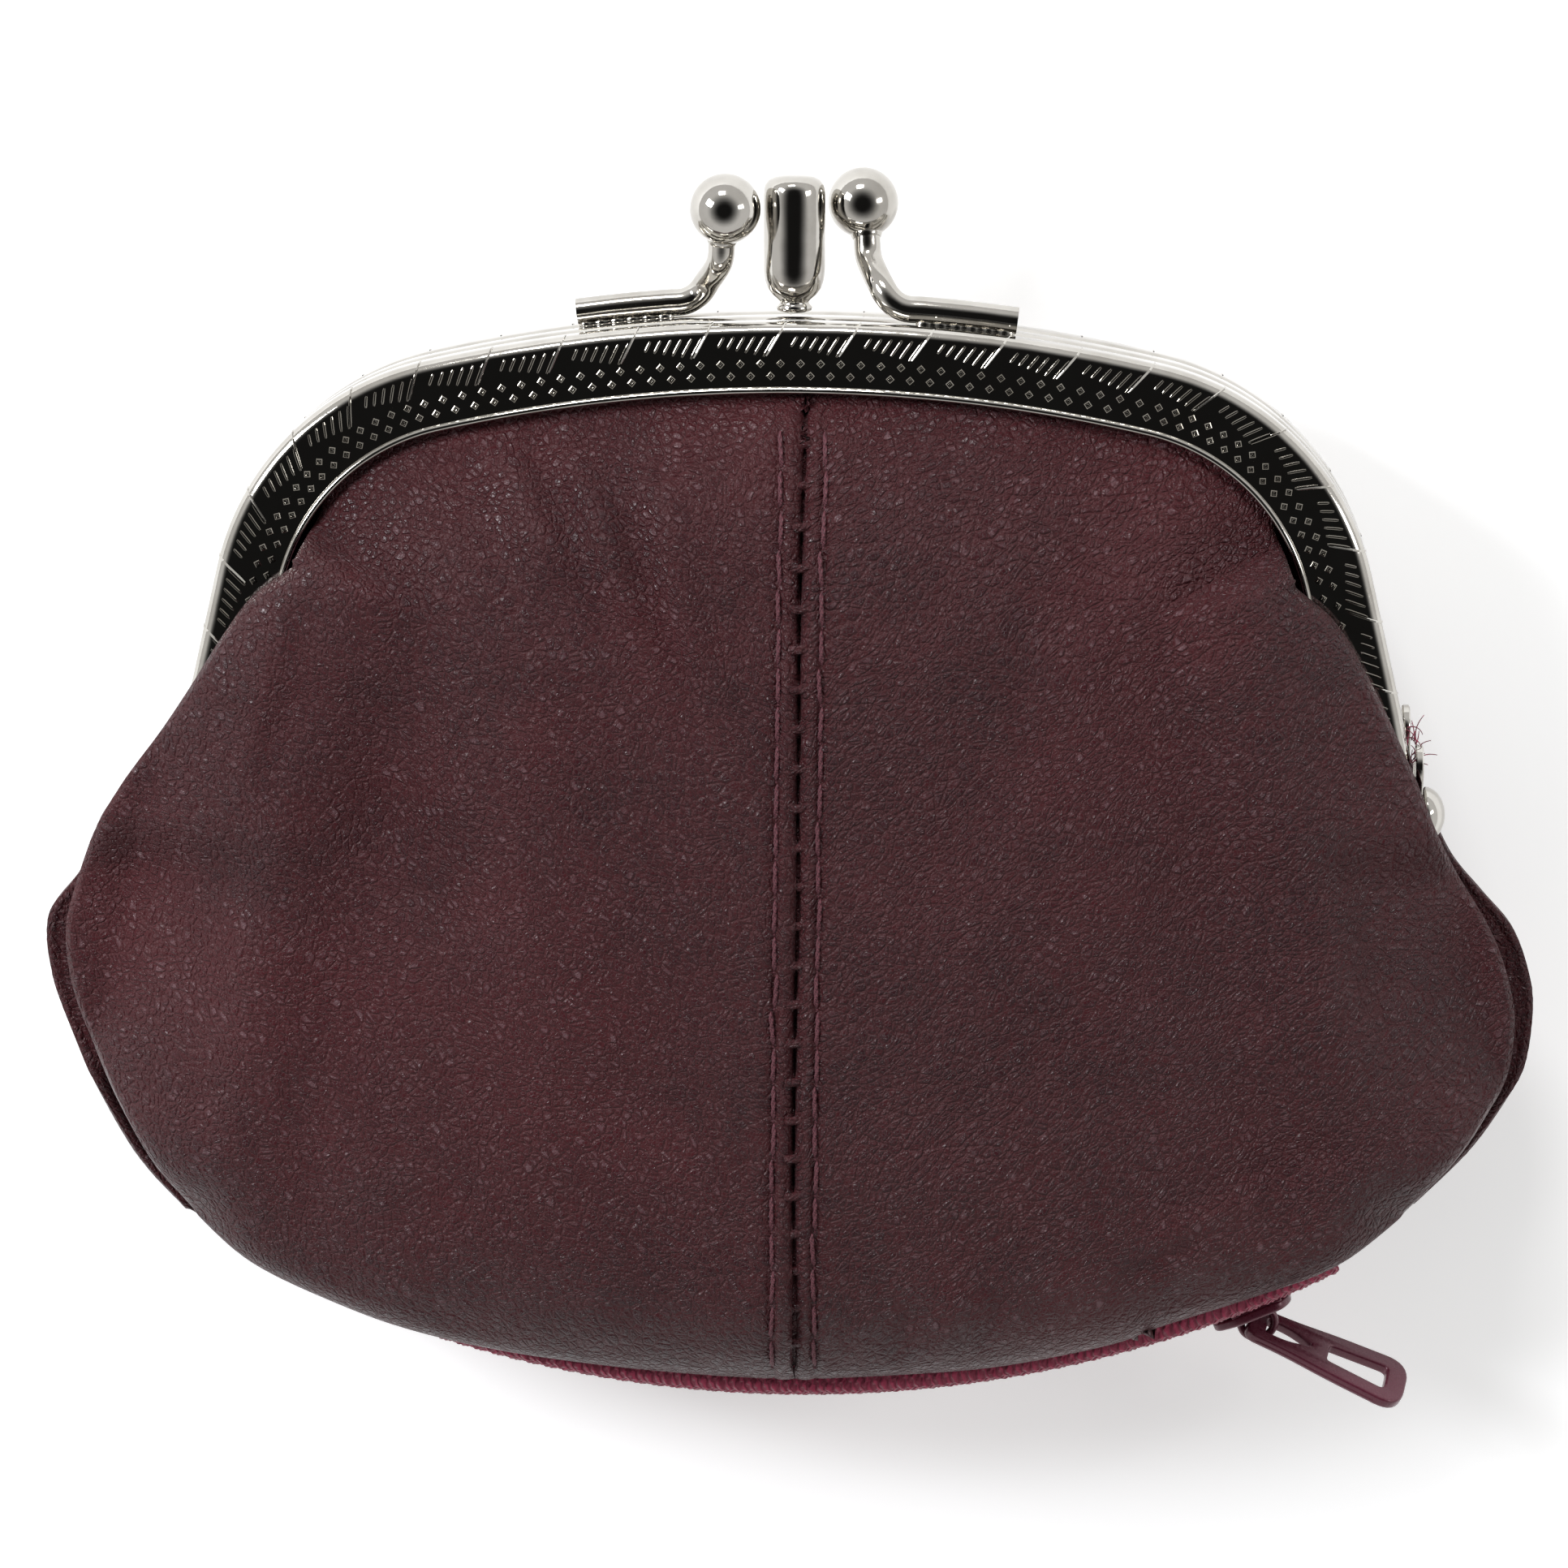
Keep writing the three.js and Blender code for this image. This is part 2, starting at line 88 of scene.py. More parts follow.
# ---------------------------------------------------------------------------
# Mesh helpers
# ---------------------------------------------------------------------------
def new_mesh(name, verts, faces, smooth=True, material_indices=None):
    """A mesh object from drawn points, which also keeps them as its texture coordinates."""
    mesh = bpy.data.meshes.new(name)
    verts = np.asarray(verts, float)
    mesh.from_pydata(row(verts).tolist(), [], [list(map(int, f)) for f in faces])
    if material_indices is not None:
        mesh.polygons.foreach_set("material_index", np.asarray(material_indices, np.int32))
    mesh.validate()
    mesh.update()
    attribute = mesh.attributes.new("rest_mm", "FLOAT_VECTOR", "POINT")
    attribute.data.foreach_set("vector", verts.astype(np.float32).ravel())
    mesh.polygons.foreach_set("use_smooth", [smooth] * len(mesh.polygons))
    obj = bpy.data.objects.new(name, mesh)
    bpy.context.scene.collection.objects.link(obj)
    return obj


class Build:
    """Collects verts and faces of several closed forms into one mesh."""

    def __init__(self):
        self.verts = []
        self.faces = []
        self.tags = []
        self.count = 0

    def add(self, verts, faces, tag=0):
        verts = np.asarray(verts, float)
        self.verts.append(verts)
        self.faces.extend([[i + self.count for i in f] for f in faces])
        self.tags.extend([tag] * len(faces))
        self.count += len(verts)

    def obj(self, name, smooth=True):
        return new_mesh(name, np.vstack(self.verts), self.faces, smooth, self.tags)


def quads(rows, cols, close_cols=False, close_rows=False):
    """Faces of a grid of points, closed into a ring in either direction if asked."""
    faces = []
    for i in range(rows if close_rows else rows - 1):
        for j in range(cols if close_cols else cols - 1):
            a, b = i * cols + j, i * cols + (j + 1) % cols
            c, d = ((i + 1) % rows) * cols + (j + 1) % cols, ((i + 1) % rows) * cols + j
            faces.append([a, b, c, d])
    return faces


def lathe(profile, sides, axis_point, axis):
    """A closed turned form: profile is [(radius, along)], from pole to pole."""
    axis = np.array(axis, float) / np.linalg.norm(axis)
    helper = np.array([0, 0, 1.0]) if abs(axis[2]) < 0.9 else np.array([0, 1.0, 0])
    e1 = np.cross(axis, helper)
    e1 /= np.linalg.norm(e1)
    e2 = np.cross(axis, e1)
    angles = np.linspace(0, 2 * np.pi, sides, endpoint=False)
    rings = profile[1:-1]
    verts = [np.array(axis_point) + axis * profile[0][1]]
    for radius, along in rings:
        for t in angles:
            verts.append(
                np.array(axis_point) + axis * along + radius * (math.cos(t) * e1 + math.sin(t) * e2)
            )
    verts.append(np.array(axis_point) + axis * profile[-1][1])
    faces = []
    for j in range(sides):
        faces.append([0, 1 + (j + 1) % sides, 1 + j])
    for i in range(len(rings) - 1):
        for j in range(sides):
            a, b = 1 + i * sides + j, 1 + i * sides + (j + 1) % sides
            faces.append([a, b, b + sides, a + sides])
    last = 1 + (len(rings) - 1) * sides
    for j in range(sides):
        faces.append([len(verts) - 1, last + j, last + (j + 1) % sides])
    return np.array(verts), faces


def smooth_path(points, count):
    """Catmull-Rom through the points, resampled evenly."""
    p = np.asarray(points, float)
    p = np.vstack([2 * p[0] - p[1], p, 2 * p[-1] - p[-2]])
    dense = []
    for i in range(1, len(p) - 2):
        for t in np.linspace(0, 1, 24, endpoint=i == len(p) - 3):
            a, b, c, d = p[i - 1], p[i], p[i + 1], p[i + 2]
            dense.append(
                0.5
                * (2 * b + (c - a) * t + (2 * a - 5 * b + 4 * c - d) * t**2 + (3 * b - a - 3 * c + d) * t**3)
            )
    dense = np.array(dense)
    along = np.r_[0, np.cumsum(np.linalg.norm(np.diff(dense, axis=0), axis=1))]
    want = np.linspace(0, along[-1], count)
    return np.column_stack([np.interp(want, along, dense[:, k]) for k in range(3)])


def tube(path, radii, sides=12, round_ends=True):
    """A closed tube along the path; radii is one number or one per point."""
    path = np.asarray(path, float)
    radii = np.broadcast_to(np.asarray(radii, float), len(path)).copy()
    tangents = np.gradient(path, axis=0)
    tangents /= np.linalg.norm(tangents, axis=1)[:, None]
    if round_ends:
        steps = [0.97, 0.8, 0.45]
        head = [path[0] - tangents[0] * radii[0] * s * 0.6 for s in steps]
        tail = [path[-1] + tangents[-1] * radii[-1] * s * 0.6 for s in steps]
        r_head = [radii[0] * math.sqrt(1 - s * s) for s in steps]
        r_tail = [radii[-1] * math.sqrt(1 - s * s) for s in steps]
        path = np.vstack([head, path, tail[::-1]])
        radii = np.r_[r_head, radii, r_tail[::-1]]
        tangents = np.vstack([[tangents[0]] * 3, tangents, [tangents[-1]] * 3])
    normal = np.cross(tangents[0], [0, 0, 1.0])
    if np.linalg.norm(normal) < 0.1:
        normal = np.cross(tangents[0], [0, 1.0, 0])
    verts = []
    angles = np.linspace(0, 2 * np.pi, sides, endpoint=False)
    for point, tangent, radius in zip(path, tangents, radii):
        normal = normal - tangent * normal.dot(tangent)
        normal /= np.linalg.norm(normal)
        other = np.cross(tangent, normal)
        for t in angles:
            verts.append(point + radius * (math.cos(t) * normal + math.sin(t) * other))
    rows = len(path)
    faces = quads(rows, sides, close_cols=True)
    faces.append(list(range(sides))[::-1])
    faces.append(list(range((rows - 1) * sides, rows * sides)))
    return np.array(verts), faces


# ---------------------------------------------------------------------------
# The arch that all three frames follow (the CAD's own measures)
# ---------------------------------------------------------------------------
TOP_R, CORNER_R, SPREAD = 127.0, 21.5, math.radians(13)
TOP_LEN = TOP_R * SPREAD
CORNER_TURN = math.pi / 2 - 2 * SPREAD
CORNER_LEN = CORNER_R * CORNER_TURN
TOP_C = np.array([0, CROWN - TOP_R])
CORNER_C = TOP_C + (TOP_R - CORNER_R) * np.array([math.sin(SPREAD), math.cos(SPREAD)])
HINGE_Y = HINGE["pos_m"][1] / MM - BASE_Y
CHANNEL_DEPTH = 5.4
CHANNEL_HALF = 1.7
LEG_OUTER, LEG_MIDDLE = 17.3, 14.4
PITCH = 3.6
CORNER_START = TOP_LEN + CORNER_LEN


def arch(distance, inset=0.0):
    """Points on the arch: distance along its outer edge from the crown, inset towards the mouth."""
    distance, inset = np.broadcast_arrays(np.asarray(distance, float), np.asarray(inset, float))
    side = np.where(distance < 0, -1.0, 1.0)
    along = np.abs(distance)
    top = np.pi / 2 - along / TOP_R
    x1 = TOP_C[0] + (TOP_R - inset) * np.cos(top)
    y1 = TOP_C[1] + (TOP_R - inset) * np.sin(top)
    turned = np.minimum(CORNER_LEN, np.maximum(0, along - TOP_LEN)) / CORNER_R
    angle = np.pi / 2 - SPREAD - turned
    leg = np.maximum(0, along - CORNER_START)
    x2 = CORNER_C[0] + (CORNER_R - inset) * np.cos(angle) + leg * math.sin(SPREAD)
    y2 = CORNER_C[1] + (CORNER_R - inset) * np.sin(angle) - leg * math.cos(SPREAD)
    on_top = along < TOP_LEN
    return np.stack([side * np.where(on_top, x1, x2), np.where(on_top, y1, y2)], -1)


def arch_place(x, y):
    """The other way: (distance, inset) of points."""
    ax = np.abs(x)
    angle_top = np.arctan2(ax - TOP_C[0], y - TOP_C[1])
    d_top = angle_top * TOP_R
    i_top = TOP_R - np.hypot(ax - TOP_C[0], y - TOP_C[1])
    rx, ry = ax - CORNER_C[0], y - CORNER_C[1]
    turned = np.arctan2(rx, ry) - SPREAD
    d_corner = TOP_LEN + turned * CORNER_R
    i_corner = CORNER_R - np.hypot(rx, ry)
    out = np.array([math.cos(SPREAD), math.sin(SPREAD)])
    down = np.array([math.sin(SPREAD), -math.cos(SPREAD)])
    d_leg = CORNER_START + rx * down[0] + ry * down[1]
    i_leg = CORNER_R - (rx * out[0] + ry * out[1])
    # outside the corner's wedge the nearer of the crown and the leg counts, so the inset has no jump
    wedge = (turned >= 0) & (turned <= CORNER_TURN)
    distance = np.where(wedge, d_corner, np.where(i_top <= i_leg, d_top, d_leg))
    inset = np.where(wedge, i_corner, np.minimum(i_top, i_leg))
    return distance * np.where(x < 0, -1, 1), inset


def stations(leg):
    """Distances of the sections that make up a frame, closer together in the corners."""
    end = CORNER_START + leg
    half = np.r_[
        np.linspace(0, TOP_LEN, int(TOP_LEN / 1.1) + 1)[:-1],
        np.linspace(TOP_LEN, CORNER_START, int(CORNER_LEN / 0.75) + 1)[:-1],
        np.linspace(CORNER_START, end, int(leg / 1.5) + 1),
    ]
    return np.r_[-half[::-1], half[1:]]


# ---------------------------------------------------------------------------
# Materials
# ---------------------------------------------------------------------------
def srgb(r, g, b):
    """An 8-bit colour as the linear one that shaders take."""
    def lin(c):
        c /= 255
        return c / 12.92 if c <= 0.04045 else ((c + 0.055) / 1.055) ** 2.4

    return (lin(r), lin(g), lin(b), 1.0)


class Nodes:
    """A small helper for building a node tree around one Principled shader."""

    def __init__(self, name):
        self.material = bpy.data.materials.new(name)
        self.material.use_nodes = True
        self.tree = self.material.node_tree
        self.shader = self.tree.nodes["Principled BSDF"]
        self.links = self.tree.links

    def node(self, kind, settings=None, **inputs):
        node = self.tree.nodes.new(kind)
        for key, value in (settings or {}).items():
            setattr(node, key, value)
        for key, value in inputs.items():
            self.put(node.inputs[key.replace("_", " ")], value)
        return node

    def put(self, socket, value):
        if isinstance(value, bpy.types.NodeSocket):
            self.links.new(value, socket)
        else:
            socket.default_value = value

    def rest(self):
        return self.node("ShaderNodeAttribute", {"attribute_name": "rest_mm"}).outputs["Vector"]

    def mapping(self, vector, scale=(1, 1, 1), rotation=(0, 0, 0), location=(0, 0, 0)):
        place = {"Vector": vector, "Scale": scale, "Rotation": rotation, "Location": location}
        return self.node("ShaderNodeMapping", **place).outputs["Vector"]

    def drawn_out(self, vector, heading, along, across):
        """Turns the coordinates to a heading in the panel's plane, then scales along and across it."""
        return self.mapping(self.mapping(vector, rotation=(0, 0, -heading)), scale=(along, across, 1.0))

    def noise(self, vector, scale, detail=3.0, roughness=0.5, distortion=0.0, output="Fac"):
        inputs = {"Scale": scale, "Detail": detail, "Roughness": roughness, "Distortion": distortion}
        return self.node("ShaderNodeTexNoise", Vector=vector, **inputs).outputs[output]

    def edges(self, vector, scale, full, start=0.0):
        """Cells parted by lines: rises from nothing at the start to one at the full distance from a line."""
        node = self.node("ShaderNodeTexVoronoi", {"feature": "DISTANCE_TO_EDGE"}, Vector=vector, Scale=scale)
        return self.remap(node.outputs["Distance"], start, full)

    def wave(self, direction, **inputs):
        settings = {"wave_type": "BANDS", "bands_direction": direction}
        return self.node("ShaderNodeTexWave", settings, **inputs).outputs["Fac"]

    def math(self, operation, a, b=0.0, c=None, clamp=False):
        node = self.node("ShaderNodeMath", {"operation": operation, "use_clamp": clamp})
        self.put(node.inputs[0], a)
        self.put(node.inputs[1], b)
        if c is not None:
            self.put(node.inputs[2], c)
        return node.outputs[0]

    def remap(self, value, low, high, to_low=0.0, to_high=1.0):
        limits = {"From Min": low, "From Max": high, "To Min": to_low, "To Max": to_high}
        node = self.node("ShaderNodeMapRange", {"interpolation_type": "SMOOTHSTEP"}, Value=value, **limits)
        return node.outputs["Result"]

    def mix(self, factor, a, b):
        node = self.node("ShaderNodeMix", {"data_type": "RGBA"})
        self.put(node.inputs["Factor"], factor)
        self.put(node.inputs[6], a)
        self.put(node.inputs[7], b)
        return node.outputs[2]

    def bump(self, height, strength, distance, normal=None):
        node = self.node("ShaderNodeBump", Height=height, Strength=strength, Distance=distance)
        if normal is not None:
            self.put(node.inputs["Normal"], normal)
        return node.outputs["Normal"]

    def set(self, **inputs):
        for key, value in inputs.items():
            self.put(self.shader.inputs[key.replace("_", " ")], value)


def leather_material(name, heading, stretch, crease):
    """Fine-grained dyed leather: pebbles drawn out along one direction, crossing creases, mottled dye, with
    painted sheen in broad patches, painted shade in the grain's recesses and painted highlights on its tips.
    """
    n = Nodes(name)
    rest = n.rest()
    bend = n.noise(rest, 0.11, 2.0, output="Color")
    warp = n.node("ShaderNodeVectorMath", {"operation": "MULTIPLY_ADD"})
    for socket, value in zip(warp.inputs, (bend, (3.4, 3.4, 3.4), rest)):
        n.put(socket, value)
    skin = warp.outputs[0]
    along = n.drawn_out(skin, heading, *stretch)
    lines = n.drawn_out(skin, heading + 0.1, 0.34, 1.5)
    across = n.drawn_out(skin, heading - 0.85, 0.42, 1.25)
    cells = n.edges(along, GRAIN_SCALE, 0.2)
    fine = n.edges(rest, 3.6, 0.16)
    crease_a = n.edges(lines, 0.62, 0.1)
    crease_b = n.edges(across, 0.5, 0.085)
    pores = n.noise(rest, 6.0, 2.0, 0.6)
    presence = n.remap(n.noise(rest, 0.055, 2.0), 0.35, 0.62, 0.35, 1.0)
    creases = n.math("MULTIPLY", n.math("ADD", crease_a, crease_b), presence)
    height = n.math("MULTIPLY", cells, 0.62)
    height = n.math("MULTIPLY_ADD", fine, 0.2, height)
    height = n.math("MULTIPLY_ADD", creases, crease, height)
    height = n.math("MULTIPLY_ADD", pores, 0.22, height)
    mottle = n.noise(rest, 0.1, 5.0, 0.62, 0.4)
    cloud = n.noise(n.mapping(rest, location=(37.0, 11.0, 5.0)), 0.036, 3.0, 0.55)
    tone = n.mix(n.remap(mottle, 0.36, 0.66), LEATHER_DARK, LEATHER_BASE)
    # a broad noise cloud shifts the tone warmer and lighter: partly dye mottle, partly painted sheen in broad
    # patches
    tone = n.mix(n.remap(cloud, 0.42, 0.7, 0.0, 0.6), tone, LEATHER_WARM_AND_SHEEN)
    # the grain's cell edges and crease lines are darkened in the colour: painted shade in the recesses
    pits = n.math("SUBTRACT", 1.0, n.math("MULTIPLY", cells, n.math("MULTIPLY", crease_a, crease_b)))
    red, green, blue, _ = LEATHER_WARM_AND_SHEEN
    tone = n.mix(n.math("MULTIPLY", pits, 0.5), tone, (red * 0.8, green * 0.55, blue * 0.55, 1.0))
    # pale flecks on the tips of the grain, thinned out by noise: painted highlights that stand in for glints
    # off the pebbles
    tips = n.edges(along, GRAIN_SCALE, 0.34, 0.16)
    # this noise mask only spreads the painted highlight flecks over the leather
    worn = n.remap(n.noise(rest, 0.9, 3.0), 0.5, 0.62)
    worn = n.math("MULTIPLY", worn, n.remap(cloud, 0.4, 0.58, 0.35, 1.0))
    tone = n.mix(n.math("MULTIPLY", n.math("MULTIPLY", tips, worn), 0.42), tone, LEATHER_PAINTED_HIGHLIGHT)
    rough = n.math("MULTIPLY_ADD", pores, 0.12, 0.14)
    rough = n.math("MULTIPLY_ADD", pits, 0.22, rough)
    n.set(Base_Color=tone, Roughness=rough, Specular_IOR_Level=0.26, Sheen_Weight=0.02, Sheen_Roughness=0.4)
    n.set(Normal=n.bump(height, 1.0, 0.00017))
    return n.material


def nickel_material(name, scratch=0.5):
    """Polished plating with faint smears, fine rubbing marks and a gentle ripple."""
    n = Nodes(name)
    rest = n.rest()
    smear = n.noise(rest, 0.22, 4.0, 0.6)
    fine = n.noise(n.mapping(rest, scale=(0.15, 2.2, 2.2), rotation=(0, 0, 0.4)), 2.4, 4.0, 0.7)
    rough = n.remap(smear, 0.35, 0.75, 0.035, 0.12)
    rough = n.math("MULTIPLY_ADD", fine, 0.05 * scratch, rough)
    tone = n.mix(n.remap(smear, 0.3, 0.8), srgb(196, 193, 187), srgb(172, 168, 161))
    n.set(Base_Color=tone, Roughness=rough, Metallic=1.0)
    ripple = n.noise(rest, 0.16, 2.0, 0.5)
    normal = n.bump(ripple, 0.35, 0.0004)
    n.set(Normal=n.bump(fine, 0.12, 0.00002, normal))
    return n.material


def cloth_material(name, low, high):
    """Plain woven cloth: warp and weft as crossed bands."""
    n = Nodes(name)
    rest = n.rest()
    warp, weft = (n.wave(axis, Vector=rest, Scale=2.2, Distortion=0.6, Detail=1.0) for axis in "XY")
    weave = n.math("MULTIPLY", warp, weft)
    fuzz = n.noise(rest, 3.2, 4.0, 0.7)
    patch = n.noise(rest, 0.08, 3.0, 0.5)
    tone = n.mix(n.remap(weave, 0.0, 0.9), low, high)
    tone = n.mix(n.remap(patch, 0.3, 0.75, 0.0, 0.4), tone, low)
    height = n.math("MULTIPLY_ADD", fuzz, 0.4, weave)
    n.set(Base_Color=tone, Roughness=n.math("MULTIPLY_ADD", fuzz, 0.15, 0.75), Sheen_Weight=0.25)
    n.set(Normal=n.bump(height, 0.6, 0.00012))
    return n.material


def tape_material(name, low, high):
    """Zip tape: a tight herringbone whose ribs lean one way and then the other."""
    n = Nodes(name)
    rest = n.rest()
    parts = n.node("ShaderNodeSeparateXYZ", Vector=rest)
    zigzag = n.math("PINGPONG", parts.outputs["Z"], RIB)
    lean = n.math("MULTIPLY_ADD", zigzag, 1.3, parts.outputs["X"])
    ribs = n.math("SINE", n.math("MULTIPLY", lean, 2 * math.pi / RIB))
    rib = n.remap(ribs, -1.0, 1.0)
    fuzz = n.noise(rest, 4.2, 4.0, 0.75)
    tone = n.mix(n.math("MULTIPLY_ADD", fuzz, 0.5, n.math("MULTIPLY", rib, 0.6)), low, high)
    height = n.math("MULTIPLY_ADD", fuzz, 0.45, rib)
    n.set(Base_Color=tone, Roughness=n.math("MULTIPLY_ADD", fuzz, 0.2, 0.68), Sheen_Weight=0.3)
    n.set(Normal=n.bump(height, 0.9, 0.00022))
    return n.material


def painted_material(name, base, edge, rough_low, rough_high, metallic=0.25):
    """Spray-painted die-cast metal, with fine orange peel and small worn specks."""
    n = Nodes(name)
    rest = n.rest()
    peel = n.noise(rest, 2.6, 3.0, 0.6)
    speck = n.noise(rest, 7.0, 3.0, 0.7)
    tone = n.mix(n.remap(speck, 0.6, 0.74, 0.0, 0.6), base, edge)
    n.set(Base_Color=tone, Roughness=n.remap(peel, 0.3, 0.7, rough_low, rough_high))
    n.set(Metallic=metallic, Coat_Weight=0.25, Coat_Roughness=0.2)
    n.set(Normal=n.bump(n.math("MULTIPLY_ADD", speck, 0.4, peel), 0.4, 0.00006))
    return n.material


def thread_material(name, low, high):
    """Twisted sewing thread with a little fuzz."""
    n = Nodes(name)
    rest = n.rest()
    twist = n.wave("DIAGONAL", Vector=rest, Scale=2.6, Distortion=0.5)
    fuzz = n.noise(rest, 8.0, 3.0, 0.7)
    tone = n.mix(twist, low, high)
    tone = n.mix(n.math("MULTIPLY", fuzz, 0.5), tone, high)
    n.set(Base_Color=tone, Roughness=n.math("MULTIPLY_ADD", fuzz, 0.2, 0.55))
    n.set(Normal=n.bump(twist, 0.7, 0.00008))
    return n.material


def paper_material(name):
    """Dull twisted paper with long fibres."""
    n = Nodes(name)
    rest = n.rest()
    fibre = n.noise(n.mapping(rest, scale=(0.4, 3, 3)), 3.0, 5.0, 0.7)
    tone = n.mix(fibre, srgb(150, 132, 104), srgb(206, 190, 160))
    n.set(Base_Color=tone, Roughness=n.math("MULTIPLY_ADD", fibre, 0.1, 0.85))
    n.set(Normal=n.bump(fibre, 0.6, 0.0001))
    return n.material


GRAIN_SCALE = 1.5
RIB = 0.62
LEATHER_BASE = srgb(60, 29, 33)
# warmer, lighter dye that also stands in for painted sheen
LEATHER_WARM_AND_SHEEN = srgb(76, 30, 35)
LEATHER_DARK = srgb(48, 24, 28)
# pale pink-grey of the painted highlights on the grain's tips
LEATHER_PAINTED_HIGHLIGHT = srgb(118, 92, 97)
leather_left = leather_material("leather_left", -0.7, (0.8, 1.25), 0.14)
leather_right = leather_material("leather_right", 0.72, (0.85, 1.15), 0.5)
nickel = nickel_material("polished_nickel")
nickel_worn = nickel_material("worn_nickel", 1.0)
lining_cloth = cloth_material("lining_cloth", srgb(70, 24, 38), srgb(104, 38, 56))
tape_cloth = tape_material("zip_tape", srgb(110, 22, 48), srgb(166, 44, 80))
coil_plastic = painted_material("zip_coil", srgb(96, 24, 46), srgb(128, 44, 68), 0.3, 0.45, 0.0)
painted = painted_material("painted_burgundy", srgb(88, 34, 50), srgb(132, 84, 96), 0.24, 0.36)
thread = thread_material("sewing_thread", srgb(50, 20, 27), srgb(104, 52, 62))
paper = paper_material("paper_cord")
# near-black for the needle holes and the seam's slits: painted shade in hollows
hole = painted_material("needle_hole_painted_shade", srgb(14, 7, 9), srgb(22, 12, 14), 0.8, 0.9, 0.0)


def dress(obj, *materials):
    """Gives an object these materials and no others."""
    obj.data.materials.clear()
    for material in materials:
        obj.data.materials.append(material)
    return obj


# ---------------------------------------------------------------------------
# Camera, light and floor
# ---------------------------------------------------------------------------
TARGET = Vector((-0.57, 1.4, 18.3)) * MM
DISTANCE = 507 * MM
YAW, PITCH_DOWN = math.radians(2.5), math.radians(10.6)
direction = Vector((math.sin(YAW), math.sin(PITCH_DOWN), 0))
direction.z = math.sqrt(1 - direction.x**2 - direction.y**2)

camera_data = bpy.data.cameras.new("camera")
camera_data.lens = 150
camera_data.sensor_width = 36
camera_data.clip_start = 0.01
camera_data.clip_end = 20
camera = bpy.data.objects.new("camera", camera_data)
bpy.context.scene.collection.objects.link(camera)
camera.location = TARGET + direction * DISTANCE
back = direction.normalized()
right = Vector((0, 1, 0)).cross(back).normalized()
up = back.cross(right)
camera.rotation_euler = Matrix((right, up, back)).transposed().to_euler()
bpy.context.scene.camera = camera
bpy.context.scene.view_settings.view_transform = "Standard"


def world_light(strength, dark_from, dark_to):
    """A soft white room with a dark opening straight above the purse, which polished faces mirror."""
    world = bpy.data.worlds.new("studio")
    bpy.context.scene.world = world
    world.use_nodes = True
    tree = world.node_tree
    background = tree.nodes["Background"]
    coords = tree.nodes.new("ShaderNodeTexCoord")
    parts = tree.nodes.new("ShaderNodeSeparateXYZ")
    tree.links.new(coords.outputs["Generated"], parts.inputs[0])
    ramp = tree.nodes.new("ShaderNodeMapRange")
    ramp.interpolation_type = "SMOOTHSTEP"
    limits = {
        "From Min": math.cos(math.radians(dark_to)), "From Max": math.cos(math.radians(dark_from)),
        "To Min": strength, "To Max": strength * 0.015,
    }
    for key, value in limits.items():
        ramp.inputs[key].default_value = value
    tree.links.new(parts.outputs["Z"], ramp.inputs["Value"])
    tree.links.new(ramp.outputs["Result"], background.inputs["Strength"])
    background.inputs["Color"].default_value = (1.0, 0.99, 0.98, 1.0)


world_light(0.8, 17, 60)


def area_light(name, location, aim, width, height, power, color=(1, 1, 1)):
    data = bpy.data.lights.new(name, "AREA")
    data.shape = "RECTANGLE"
    data.size, data.size_y = width, height
    data.energy = power
    data.color = color
    lamp = bpy.data.objects.new(name, data)
    bpy.context.scene.collection.objects.link(lamp)
    lamp.location = location
    to_aim = (Vector(aim) - Vector(location)).normalized()
    lamp.rotation_euler = to_aim.to_track_quat("-Z", "Y").to_euler()
    return lamp


area_light("softbox_left", (-0.62, 0.34, 0.52), (0, 0, 0.01), 0.22, 0.3, 5.6, (0.95, 0.97, 1.0))
area_light("softbox_right", (0.72, 0.2, 0.5), (0, 0, 0.01), 0.16, 0.3, 1.1)
area_light("softbox_top", (-0.12, 0.8, 0.5), (0, 0, 0.01), 0.3, 0.16, 3.2)

floor_mesh = bpy.data.meshes.new("floor")
SIDE = 6.0
floor_mesh.from_pydata(
    [(-SIDE, -SIDE, 0), (SIDE, -SIDE, 0), (SIDE, SIDE, 0), (-SIDE, SIDE, 0)], [], [(0, 1, 2, 3)]
)
floor = bpy.data.objects.new("floor", floor_mesh)
bpy.context.scene.collection.objects.link(floor)
floor_nodes = Nodes("pale_floor")
floor_nodes.set(Base_Color=(0.93, 0.93, 0.93, 1.0), Roughness=0.7)
floor_nodes.set(Emission_Color=(1.0, 1.0, 1.0, 1.0), Emission_Strength=0.36)
floor_mesh.materials.append(floor_nodes.material)


# ---------------------------------------------------------------------------
# Frames
# ---------------------------------------------------------------------------
EDGE_R = 1.0
WALL = 0.5


